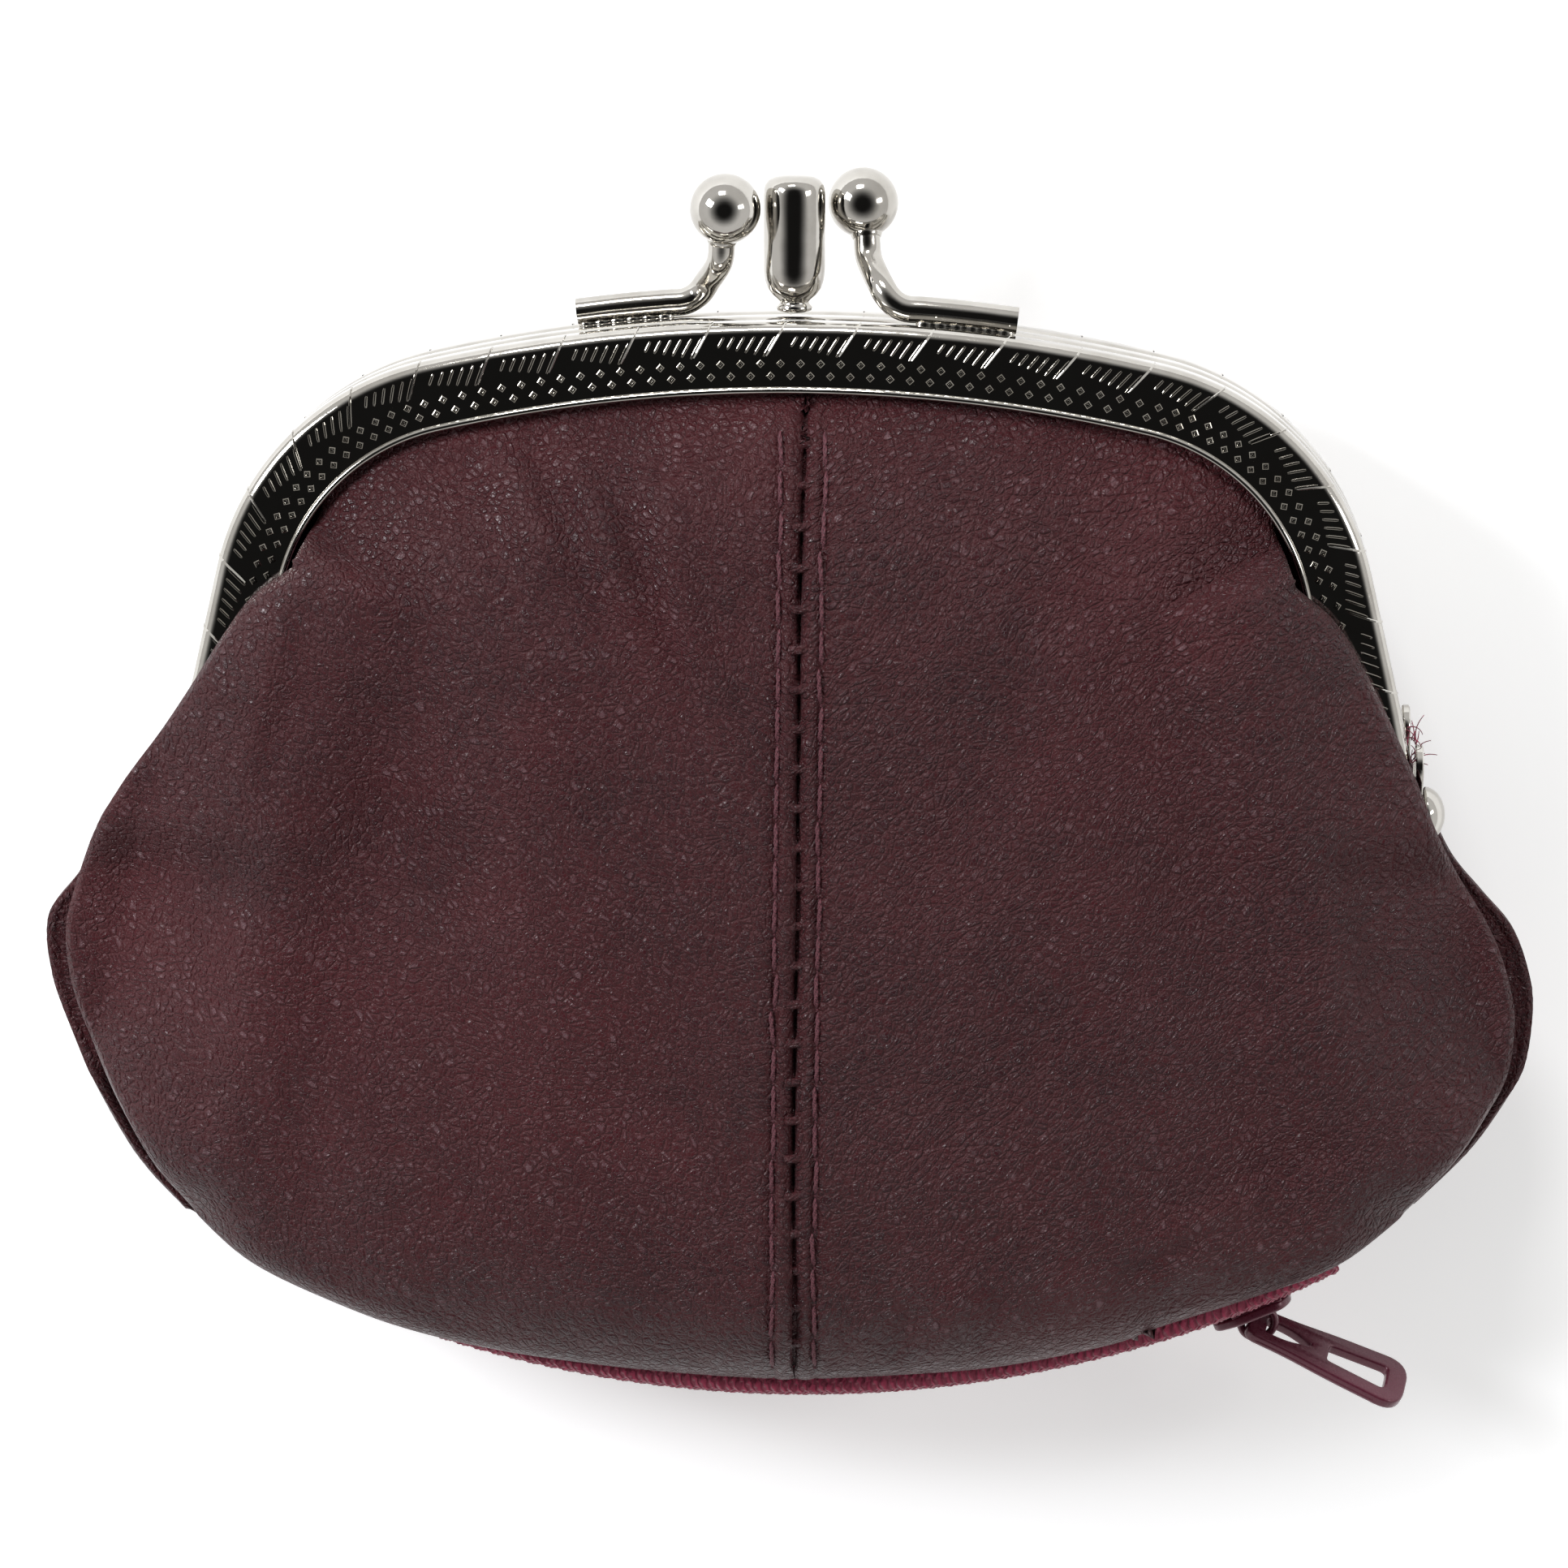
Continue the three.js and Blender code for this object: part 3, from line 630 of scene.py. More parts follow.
def channel_profile(bead_front, bead_rear):
    """Closed cross-section in (inset, z): an open channel with rounded corners and a bead on its rim."""
    half, depth = CHANNEL_HALF, CHANNEL_DEPTH

    def face(sign, bead):
        points = []
        if bead:
            points += [(depth, sign * (half - 0.22)), (depth + 0.02, sign * (half + 0.02))]
            for a in (25, 60, 90, 120, 155):
                t = math.radians(a)
                points.append((depth - 0.22 + 0.24 * math.cos(t), sign * (half + 0.02 + 0.2 * math.sin(t))))
            points.append((depth - 0.5, sign * half))
        else:
            points += [(depth, sign * (half - 0.25)), (depth - 0.06, sign * (half - 0.06))]
            points.append((depth - 0.25, sign * half))
        points.append((depth - 1.0, sign * half))
        points.append((EDGE_R + 0.25, sign * half))
        for a in np.linspace(90, 0, 8):
            t = math.radians(a)
            points.append((EDGE_R - EDGE_R * math.cos(t), sign * (half - EDGE_R + EDGE_R * math.sin(t))))
        return points

    outer = face(1, bead_front) + face(-1, bead_rear)[::-1]
    r = EDGE_R - WALL
    inner = [(depth, -(half - WALL)), (WALL + r, -(half - WALL))]
    inner += [(WALL + r - r * math.sin(t), -(half - WALL - r + r * math.cos(t))) for t in (0.5, 1.1, 1.57)]
    inner += [(WALL + r - r * math.sin(t), half - WALL - r + r * math.cos(t)) for t in (1.57, 1.1, 0.5)]
    inner += [(WALL + r, half - WALL), (depth, half - WALL)]
    # where two stretches meet they share a point, so near-equal neighbours are dropped
    points = []
    for p in outer + inner:
        if not points or math.dist(points[-1], p) > 0.02:
            points.append(p)
    return points


def frame_sweep(profile, leg, z_centre):
    """The profile carried along the arch, closed at both feet."""
    along = stations(leg)
    inset, z = np.array(profile).T
    sections = []
    for d in along:
        # the legs taper gently to their feet
        foot = max(0.0, abs(d) - (CORNER_START + leg - 6)) / 6
        xy = arch(np.full(len(inset), d), inset + 0.25 * foot * (inset < 2))
        sections.append(np.column_stack([xy, z_centre + z * (1 - 0.06 * foot * (z > 0))]))
    count = len(profile)
    faces = quads(len(along), count, close_cols=True)
    faces += [list(range(count))[::-1], list(range((len(along) - 1) * count, len(along) * count))]
    build = Build()
    build.add(np.vstack(sections), faces)
    return build


LUG_THICK, LUG_RADIUS, LUG_HOLE, LUG_BEVEL = 0.6, 1.7, 0.88, 0.1


def lug(build, side, x_inner, end):
    """A rounded hinge tab in a plane of constant X, from the hinge to the foot of its frame."""
    hinge, end = np.array([HINGE_Y, MID_Z]), np.array(end)
    heading = math.atan2(end[1] - hinge[1], end[0] - hinge[0])
    outline = []
    for centre, turn in ((hinge, math.pi / 2), (end, -math.pi / 2)):
        for t in np.linspace(heading + turn, heading + turn + math.pi, 17):
            outline.append(centre + LUG_RADIUS * np.array([math.cos(t), math.sin(t)]))
    outline = np.array(outline)
    # the hole's ring is matched point for point with the outline, by direction from the hinge
    directions = outline - hinge
    directions /= np.linalg.norm(directions, axis=1)[:, None]
    ring = hinge + LUG_HOLE * directions
    bevelled = outline + (hinge * 0.3 + end * 0.7 - outline) * 0.03
    x0, x1 = x_inner, x_inner + LUG_THICK
    layers = [
        (x0, ring), (x0, bevelled), (x0 + LUG_BEVEL, outline),
        (x1 - LUG_BEVEL, outline), (x1, bevelled), (x1, ring),
    ]
    verts = np.vstack([np.column_stack([np.full(len(loop), side * x), loop]) for x, loop in layers])
    build.add(verts, quads(len(layers), len(outline), close_cols=True, close_rows=True))


FRAMES = {
    "front": ("front_frame_body", MID_Z + PITCH, LEG_OUTER, 48.3, (51.0, MID_Z + PITCH), (True, False)),
    "middle": ("root", MID_Z, LEG_MIDDLE, 47.4, (53.5, MID_Z), (False, False)),
    "rear": ("rear_frame_body", MID_Z - PITCH, LEG_OUTER, 46.5, (51.0, MID_Z - PITCH), (False, True)),
}


def edit_mesh(obj, change):
    """Runs a bmesh operation on an object's mesh."""
    bm = bmesh.new()
    bm.from_mesh(obj.data)
    change(bm)
    bm.to_mesh(obj.data)
    bm.free()
    return obj


def fix_normals(obj):
    """Turns every face outward."""
    return edit_mesh(obj, lambda bm: bmesh.ops.recalc_face_normals(bm, faces=bm.faces))


WELD_DISTANCE = 0.00001


def weld(obj):
    """Joins points that coincide."""
    return edit_mesh(obj, lambda bm: bmesh.ops.remove_doubles(bm, verts=bm.verts, dist=WELD_DISTANCE))


def split_edges(obj, degrees):
    """Keeps edges sharper than this angle crisp under smooth shading."""
    obj.modifiers.new("edges", "EDGE_SPLIT").split_angle = math.radians(degrees)


def place(obj, body, materials, slot, nodes=()):
    """Dresses a piece that rides on one body; slot, meant to say what it stands for, is not used."""
    dress(obj, *materials)
    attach(obj, body)
    if nodes:
        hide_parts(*nodes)
    return obj


for name, (body, z, leg, lug_x, lug_end, beads) in FRAMES.items():
    build = frame_sweep(channel_profile(*beads), leg, z)
    for side in (-1, 1):
        lug(build, side, lug_x, lug_end)
    obj = fix_normals(build.obj(f"{name}_frame_channel"))
    place(obj, body, [nickel], "nickel", [f"{name}_frame"])
    split_edges(obj, 38)


def outer_z(inset):
    """Height of the channel's outer surface above its mid-plane, over the rounded corner too."""
    inset = np.asarray(inset, float)
    arc = np.sqrt(np.maximum(0, EDGE_R**2 - (EDGE_R - np.minimum(inset, EDGE_R)) ** 2))
    return CHANNEL_HALF - EDGE_R + arc


STROKES, GROUP, STROKE_GAP, STROKE_LEAN = 7, 5.7, 0.8, 0.62
DIAMOND_PITCH = 1.58


def stroke_ridge(build, along, start, length, z_centre, sign):
    """One slanting raised stroke on the frame's face."""
    count = 7
    inset = np.linspace(start, start + length, count)
    lean = STROKE_LEAN * (inset - inset[0])
    if start <= 0:
        # the long stroke wraps over the rounded edge
        inset = np.r_[0.0, 0.0, np.linspace(0.08, start + length, count)]
        lean = STROKE_LEAN * inset
    z = outer_z(inset)
    if start <= 0:
        z[:2] = outer_z(0.0) - np.array([0.7, 0.1])
    xy = arch(along - lean, np.maximum(inset, 0.0))
    path = np.column_stack([xy, z_centre + sign * z])
    width = np.full(len(path), 0.1)
    width[0] = width[-1] = 0.06
    build.add(*tube(path, width, 6, round_ends=False))


def emboss(name, z_centre, sign, leg):
    """Groups of slanting strokes along the outer edge, and two staggered rows of diamonds by the rim."""
    build = Build()
    end = CORNER_START + leg - 2.2
    for group in np.arange(-end, end - GROUP * 0.4, GROUP):
        for k in range(STROKES):
            along = group + k * STROKE_GAP
            if abs(along) > end:
                continue
            if k == STROKES - 1:
                stroke_ridge(build, along, 0.0, 2.5, z_centre, sign)
            else:
                stroke_ridge(build, along, 1.0, 0.8 + 0.15 * k, z_centre, sign)
    diamond_rows = [(CHANNEL_DEPTH - 1.35, 0.0), (CHANNEL_DEPTH - 2.3, 0.5)]
    for inset, shift in diamond_rows:
        for along in np.arange(-end + 1.5 + shift * DIAMOND_PITCH, end - 1.5, DIAMOND_PITCH):
            centre = np.r_[arch(along, inset), z_centre + sign * CHANNEL_HALF]
            ahead = np.r_[arch(along + 0.3, inset), 0] - np.r_[arch(along, inset), 0]
            ahead /= np.linalg.norm(ahead)
            side = np.array([-ahead[1], ahead[0], 0])
            loops = []
            for radius, height in ((0.36, -0.03), (0.25, 0.1), (0.15, 0.1), (0.08, 0.01)):
                for way in (ahead, side, -ahead, -side):
                    loops.append(centre + way * radius + np.array([0, 0, sign * height]))
            build.add(np.array(loops), quads(4, 4, close_cols=True) + [[12, 13, 14, 15], [3, 2, 1, 0]])
    return fix_normals(build.obj(name, smooth=False))


place(emboss("front_frame_emboss", MID_Z + PITCH, 1, LEG_OUTER), "front_frame_body", [nickel], "nickel")
place(emboss("rear_frame_emboss", MID_Z - PITCH, -1, LEG_OUTER), "rear_frame_body", [nickel], "nickel")


def clasp_post():
    """The lobed post between the two balls."""
    post_low, post_high = box_mm("centre_post")
    base, top = post_low[1] - BASE_Y, post_high[1] - BASE_Y
    build = Build()
    profile = [
        (0, base - 0.05), (0.9, base - 0.02), (1.3, base + 0.12), (1.42, base + 0.38), (1.2, base + 0.62),
        (1.12, base + 0.8), (1.32, base + 1.0), (1.75, base + 1.35), (2.12, base + 1.85), (2.32, base + 2.5),
        (2.4, base + 3.2), (2.4, top - 1.5), (2.36, top - 1.1), (2.28, top - 0.75), (2.0, top - 0.38),
        (1.55, top - 0.14), (0.9, top - 0.02), (0, top),
    ]
    build.add(*lathe(profile, 40, (0, 0, MID_Z), (0, 1, 0)))
    place(fix_normals(build.obj("clasp_post")), "root", [nickel_worn], "nickel", ["centre_post"])


WIRE = 1.05


def clasp_arm(name, side, rod_z, rod_end):
    """A ball, the bent wire that carries it, and the seam of solder that holds the wire to its frame."""
    low, high = box_mm(f"{name}_clasp_ball")
    centre = (low + high) / 2
    centre[1] -= BASE_Y
    radius = (high[0] - low[0]) / 2
    build = Build()
    profile = [(radius * math.sin(t), -radius * math.cos(t)) for t in np.linspace(0, math.pi, 25)]
    build.add(*lathe(profile, 40, centre, (0, 1, 0)))
    ball = fix_normals(build.obj(f"{name}_clasp_knob"))
    place(ball, f"{name}_frame_body", [nickel_worn], "nickel", [f"{name}_clasp_ball"])

    height = WIRE + 0.05
    shoulder = np.array([side * 5.75, centre[1] - 4.2, centre[2] + 0.35 * (rod_z - centre[2])])
    neck = centre + (shoulder - centre) / np.linalg.norm(shoulder - centre) * (radius - 0.25)

    def on(x):
        """A point of the straight part, which lies on the frame."""
        return [side * x, arch(x, 0)[1] + height, rod_z]

    low_y = arch(9.0, 0)[1] + height
    points = [
        on(rod_end), on(14.5), on(12), on(10),
        [side * 8.6, low_y + 0.05, rod_z], [side * 7.55, low_y + 0.65, rod_z],
        [side * 6.75, low_y + 1.75, 0.85 * rod_z + 0.15 * centre[2]], shoulder, neck,
    ]
    path = smooth_path(points, 60)
    build = Build()
    build.add(*tube(path, WIRE, 20, round_ends=False))
    # a crimp ring where the wire enters the ball, and a soldered seam under the straight part
    collar = [(0, -0.35), (WIRE * 1.12, -0.3), (WIRE * 1.2, 0), (WIRE * 1.1, 0.3), (0, 0.35)]
    build.add(*lathe(collar, 20, neck, neck - centre))
    x = np.linspace(9.8, rod_end - 0.5, 30)
    seam = np.column_stack([arch(side * x, 0.0), np.full(len(x), rod_z)])
    build.add(*tube(seam, 0.62 + 0.08 * np.sin(x * 5.1), 12, round_ends=True))
    arm = fix_normals(build.obj(f"{name}_clasp_wire"))
    place(arm, f"{name}_frame_body", [nickel_worn], "nickel", [f"{name}_clasp_arm"])
    split_edges(arm, 50)


clasp_post()
clasp_arm("front", 1, 15.1, 17.3)
clasp_arm("rear", -1, 10.9, 17.0)

def rivet(name, side):
    """A domed rivet through the hinge tabs of one side."""
    profile = [
        (0, 44.9), (0.9, 44.92), (1.35, 45.05), (1.5, 45.3), (1.5, 46.1), (0.8, 46.2), (0.8, 49.2),
        (2.1, 49.22), (2.2, 49.35), (2.18, 49.55), (2.02, 49.9), (1.75, 50.25), (1.3, 50.58),
        (0.7, 50.82), (0, 50.9),
    ]
    build = Build()
    build.add(*lathe(profile, 32, (0, HINGE_Y, MID_Z), (side, 0, 0)))
    place(fix_normals(build.obj(f"{name}_rivet")), "root", [nickel_worn], "nickel", [f"{name}_hinge_rivet"])


for name, side in SIDES:
    rivet(name, side)

for node in ("front_frame_cord", "middle_frame_cord", "rear_frame_cord"):
    dress(frame["nodes"][node], paper)


# ---------------------------------------------------------------------------
# Leather. Each face is a left and a right half, stitched together down the middle.
# ---------------------------------------------------------------------------
LEFT_FLANK = [
    (-41.6, 64.2), (-43.9, 61.2), (-46.6, 57.0), (-48.9, 53.6), (-52.0, 49.4), (-54.5, 45.2), (-56.3, 40.6),
    (-57.1, 36.9), (-56.6, 32.4), (-54.9, 27.6), (-52.8, 22.9), (-50.3, 18.5), (-47.0, 14.6),
]
LEFT_BOTTOM = [(-42.4, 10.9), (-35.9, 7.8), (-30.1, 5.7), (-23.0, 4.1), (-15.0, 3.0), (-7.0, 2.3)]
RIGHT_FLANK = [
    (42.0, 62.6), (44.9, 57.6), (48.1, 50.8), (49.8, 46.6), (51.6, 42.8), (53.5, 39.7), (54.9, 37.0),
    (55.9, 33.9), (56.4, 30.8), (55.9, 26.6), (54.4, 23.6), (51.9, 19.8), (47.7, 15.3),
]
RIGHT_BOTTOM = [(42.6, 11.6), (36.5, 9.2), (29.2, 6.7), (25.0, 5.1), (16.7, 3.3), (9.0, 2.5)]
SEAM_TOP, SEAM_BOTTOM = (1.07, 80.0), (0.31, 2.0)
LEAVES_RIM = {-1: 50.2, 1: 51.8}
LEATHER_THICK = 0.8
EDGE_CLEAR = 0.45
RIM_Z = 4.35
TUCK_INSET = 3.3
COLUMNS_NEAR_SEAM = [
    0, 0.08, 0.17, 0.27, 0.38, 0.52, 0.7, 0.9, 1.1, 1.3, 1.48, 1.62, 1.76, 1.92, 2.15, 2.45, 2.8, 3.2,
]
ROWS = 268


def seam_x(y):
    return SEAM_BOTTOM[0] + (SEAM_TOP[0] - SEAM_BOTTOM[0]) * (np.asarray(y, float) - SEAM_BOTTOM[1]) / (
        SEAM_TOP[1] - SEAM_BOTTOM[1]
    )


def resample(points, fractions):
    """Points at these fractions of the length of a smooth curve through the given ones."""
    flat = np.column_stack([np.asarray(points, float), np.zeros(len(points))])
    dense = smooth_path(flat, 600)[:, :2]
    along = np.r_[0, np.cumsum(np.linalg.norm(np.diff(dense, axis=0), axis=1))]
    want = np.asarray(fractions) * along[-1]
    return np.column_stack([np.interp(want, along, dense[:, k]) for k in range(2)])


def smoothstep(x, low, high):
    t = np.clip((x - low) / (high - low), 0, 1)
    return t * t * (3 - 2 * t)


def value_noise(points, scale, seed, octaves=3):
    """Smooth seeded noise from sums of sines, from about -1 to 1."""
    local = np.random.default_rng(seed)
    total = np.zeros(len(points))
    weight = 0.0
    for octave in range(octaves):
        for _ in range(5):
            wave = local.normal(size=points.shape[1])
            wave *= 2 * np.pi * scale * 2**octave / np.linalg.norm(wave) * local.uniform(0.6, 1.4)
            total += 0.5**octave * np.sin(points @ wave + local.uniform(0, 2 * np.pi))
        weight += 0.5**octave
    return total / (weight * 2.4)


TOP_CORNER, LOW_CORNER = 20.0, 30.0
SWELL_FROM, SWELL_TO, SWELL_DROP = 35.0, 43.0, 40.0


def outline_curves(side, swell):
    """One half's flank and bottom, and its outline cut anew into a patch's top, outer side and bottom."""
    flank = LEFT_FLANK if side < 0 else RIGHT_FLANK
    bottom = LEFT_BOTTOM if side < 0 else RIGHT_BOTTOM
    last = LEAVES_RIM[side]

    def grown(points):
        """The rear face's outline swells below the hinge, where it shows past the front one."""
        points = np.array(points, float)
        points[:, 0] *= 1 + swell * (1 - smoothstep(points[:, 1], SWELL_FROM, SWELL_TO))
        low_corner = smoothstep(np.abs(points[:, 0]), 14, 38) * (1 - smoothstep(points[:, 1], 18, 38))
        points[:, 1] -= SWELL_DROP * swell * low_corner
        return points

    start = arch(side * last, CHANNEL_DEPTH + EDGE_CLEAR)
    # the rim curve is walked by distance, tucked into the channel until the leather leaves it
    distances = np.linspace(0.0, last, 320)
    leaving = smoothstep(distances, last - 13, last - 5)
    inset = TUCK_INSET + (CHANNEL_DEPTH + EDGE_CLEAR - TUCK_INSET) * leaving
    rim = arch(side * distances, inset)
    spread = smoothstep(distances, 0, 6)
    rim[:, 0] = rim[:, 0] * spread + (1 - spread) * (seam_x(rim[:, 1]) + side * distances)
    flank = resample(np.vstack([start, grown(flank)]), np.linspace(0, 1, 260))
    bottom = np.vstack([flank[-1], grown(bottom), [seam_x(SEAM_BOTTOM[1]), SEAM_BOTTOM[1]]])
    bottom = resample(bottom, np.linspace(0, 1, 200))
    near_seam = distances <= TOP_CORNER
    outside = np.abs(bottom[:, 0]) >= LOW_CORNER
    top = rim[near_seam]
    outer = np.vstack([rim[np.sum(near_seam) - 1 :], flank[1:], bottom[1:][outside[1:]]])
    low = np.vstack([outer[-1], bottom[~outside]])
    return flank, bottom, top, outer, low


def coons(top, outer, low, u, v):
    """A patch between its top, its outer side, its bottom and the seam."""

    def cut(points, fractions):
        along = np.r_[0, np.cumsum(np.linalg.norm(np.diff(points, axis=0), axis=1))]
        want = fractions * along[-1]
        return np.column_stack([np.interp(want, along, points[:, k]) for k in range(2)])

    top, side, low = cut(top, u), cut(outer, v), cut(low, 1 - u)
    y = top[0, 1] + (low[0, 1] - top[0, 1]) * v
    spine = np.column_stack([seam_x(y), y])
    uu, vv = u[None, :, None], v[:, None, None]
    grid = (1 - vv) * top[None] + vv * low[None] + (1 - uu) * spine[:, None] + uu * side[:, None]
    grid = grid - (1 - uu) * (1 - vv) * top[0] - uu * (1 - vv) * top[-1]
    return grid - (1 - uu) * vv * low[0] - uu * vv * low[-1]


def polyline_distance(points, line):
    """Distance of each point from the nearest stretch of a line."""
    best = np.full(len(points), 1e9)
    for a, b in zip(line[:-1], line[1:]):
        ab = b - a
        t = np.clip(((points - a) @ ab) / (ab @ ab), 0, 1)
        best = np.minimum(best, np.linalg.norm(points - a - t[:, None] * ab, axis=1))
    return best


FOLDS = {
    # (x, y, heading in degrees, length, width, depth): soft folds that run down from the rim, and dents
    -1: [
        (-20.5, 72.0, -58, 12, 1.5, 0.7), (-17.0, 70.0, -62, 16, 1.3, -0.6),
        (-14.0, 68.5, -64, 18, 1.4, 0.75), (-11.2, 66.5, -68, 18, 1.2, -0.6),
        (-8.3, 66.0, -74, 18, 1.2, 0.5), (-24.0, 70.5, -50, 10, 1.6, -0.5),
        (-33.0, 50.0, -60, 24, 5.5, -0.9), (-20.0, 40.0, -75, 26, 6.0, 0.9),
        (-42.0, 34.0, -70, 24, 5.0, 0.7), (-12.0, 16.0, -20, 14, 3.0, -0.3),
        (-30.0, 16.0, 25, 16, 3.4, -0.3), (-44.5, 45.0, -50, 12, 2.6, -0.3),
    ],
    1: [
        (22.0, 66.0, 58, 20, 4.4, -0.5), (33.0, 58.0, 52, 20, 4.6, 0.5),
        (14.0, 50.0, 64, 18, 3.6, -0.4), (38.0, 20.0, 32, 14, 2.2, -0.5),
        (33.0, 16.5, 36, 10, 1.4, 0.4), (29.0, 13.0, 40, 8, 1.0, -0.35),
        (44.0, 38.0, 60, 20, 4.6, 0.55), (20.0, 30.0, 15, 18, 4.5, -0.3),
        (10.0, 20.0, 5, 12, 3.4, 0.25), (9.0, 7.0, 82, 7, 0.7, -0.25),
        (12.5, 7.4, 84, 8, 0.8, 0.25), (5.6, 6.4, 80, 6, 0.6, 0.2),
        (16.0, 8.0, 78, 6, 0.7, -0.22), (47.5, 47.0, 58, 14, 2.2, -0.25),
    ],
}


def folds(x, y, side, face):
    """Sum of soft ridges, each a line with a bell across it and a fade at both ends."""
    total = np.zeros_like(x)
    for fx, fy, heading, length, width, depth in FOLDS[side]:
        if face < 0:
            fx, fy, heading = fx * 0.93, fy - 2.5, heading + 9
        t = math.radians(heading)
        dx, dy = x - fx, y - fy
        along = dx * math.cos(t) + dy * math.sin(t)
        across = -dx * math.sin(t) + dy * math.cos(t) + 0.35 * np.sin(along * 0.5)
        total += depth * np.exp(-((across / width) ** 2) - (np.abs(along) / (0.5 * length)) ** 4)
    return total


def creases(x, y, side, face):
    """Fine crossing creases that the skin shows where it has been flexed."""
    points = np.column_stack([x, y])
    warp = 1.4 * value_noise(points, 0.05, 21 + face + side, 2)
    total = np.zeros_like(x)
    sets = [(38, 0.36, 0.05), (-12, 0.30, 0.045)] if side > 0 else [(-52, 0.42, 0.05), (30, 0.2, 0.03)]
    for k, (heading, rate, depth) in enumerate(sets):
        t = math.radians(heading)
        across = -x * math.sin(t) + y * math.cos(t) + warp
        along = x * math.cos(t) + y * math.sin(t)
        drift = value_noise(np.column_stack([along * 0.5, across]), 0.12, 5 + k + side, 2)
        total += depth * np.abs(np.sin(np.pi * rate * across + 2.2 * drift))
    presence = 0.35 + 0.65 * smoothstep(value_noise(points, 0.028, 71 + side + face, 2), -0.3, 0.7)
    return total * presence


STITCH_OFFSET, STITCH_PITCH = 1.65, 2.95
BAR_PITCH = 3.05
SEAM_FROM, SEAM_TO = 3.6, 79.6


def seam_relief(x, y):
    """The stitched band: raised between two lines of thread, with slits between short bars in the middle."""
    s = np.abs(x - seam_x(y))
    band = 0.26 * np.exp(-(((s - 0.95) / 0.5) ** 2))
    pulled = -0.2 * np.exp(-(((s - STITCH_OFFSET) / 0.24) ** 2))
    puff = 0.12 * np.exp(-(((s - 2.7) / 0.7) ** 2))
    phase = (y / BAR_PITCH) % 1.0
    slit = smoothstep(phase, 0.1, 0.22) * (1 - smoothstep(phase, 0.78, 0.9))
    valley = -(0.12 + 0.62 * slit) * np.exp(-((s / 0.2) ** 2))
    stitch = (y / STITCH_PITCH) % 1.0
    knots = 0.5 + 0.5 * np.cos(2 * np.pi * stitch)
    pulled = pulled * (0.65 + 0.6 * knots)
    fade = smoothstep(82.0 - y, 0, 3)
    return (band + pulled + puff + valley) * fade


PRESS = 0.12
BELLY_Y = 33


def leather_height(x, y, side, face, flank, bottom):
    """Height of the leather's outer surface above the purse's mid-plane."""
    points = np.column_stack([x, y])
    e_flank = polyline_distance(points, flank[::3])
    e_bottom = polyline_distance(points, bottom[::3])
    distance, inset = arch_place(x, y)
    beyond = inset - CHANNEL_DEPTH
    over_leg = smoothstep(np.abs(distance), LEAVES_RIM[side] - 5, LEAVES_RIM[side] - 0.2)
    over_leg = over_leg * (1 - smoothstep(beyond, 4, 13))
    above_foot = smoothstep(y, HINGE_Y - 5, HINGE_Y + 1)
    low_edge = 4.7 + 2.35 * over_leg * above_foot

    def roll(e, reach):
        t = np.clip(e / reach, 0, 1)
        return np.sqrt(np.maximum(0, 1 - (1 - t) ** 2.25))

    reach_flank = 11.5 + 2.5 * smoothstep(y, 20, 45)
    rolled = roll(e_flank, reach_flank) * roll(e_bottom + 0.35, 10.5)
    droop = np.where(y > BELLY_Y, 0.0011, 0.002) * (y - BELLY_Y) ** 2
    full = BELLY - 0.00035 * (x**2) - droop
    h_roll = low_edge + (full - low_edge) * rolled
    lift = np.maximum(beyond + 7.0 * over_leg, 0)
    base = RIM_Z + 2.5 * over_leg * above_foot
    h_rim = base + (BELLY + 0.6 - base) * (1 - np.exp(-lift / 15.0))
    soft = 0.9
    h = -soft * np.log(np.exp(-h_roll / soft) + np.exp(-h_rim / soft))
    # inside the channel the leather lies flat; over the leg it stays clear of the metal
    in_channel = (1 - smoothstep(beyond, -0.1, 0.9)) * (1 - over_leg)
    h = h * (1 - in_channel) + RIM_Z * in_channel
    floor_height = 6.25 * above_foot * over_leg * (1 - smoothstep(beyond, 0.0, 3.0))
    h = np.where(over_leg > 0.9, floor_height + np.logaddexp(0, (h - floor_height) * 3) / 3, h)
    detail = smoothstep(np.minimum(e_flank, e_bottom), 0.3, 3.0) * smoothstep(beyond, 0.4, 3.0)
    relief = folds(x, y, side, face) + creases(x, y, side, face)
    relief += 0.5 * value_noise(points, 0.026, 91 + side + 3 * face, 3)
    h = h + relief * detail
    keep_flat = smoothstep(beyond, 0.1, 1.2)
    h = h + seam_relief(x, y) * keep_flat
    # puckers along the rim where the leather is gathered into the channel
    pucker = 0.16 * value_noise(np.column_stack([distance, distance * 0]), 0.16, 40 + side + face, 3)
    h = h + pucker * smoothstep(beyond, 0.1, 1.5) * np.exp(-np.maximum(beyond, 0) / 4.0) * (1 - over_leg)
    if face < 0:
        # the rear face is pressed flat where the purse lies on it
        h = h - PRESS * np.logaddexp(0, (h - MID_Z + 2 * PRESS) / PRESS)
    return h


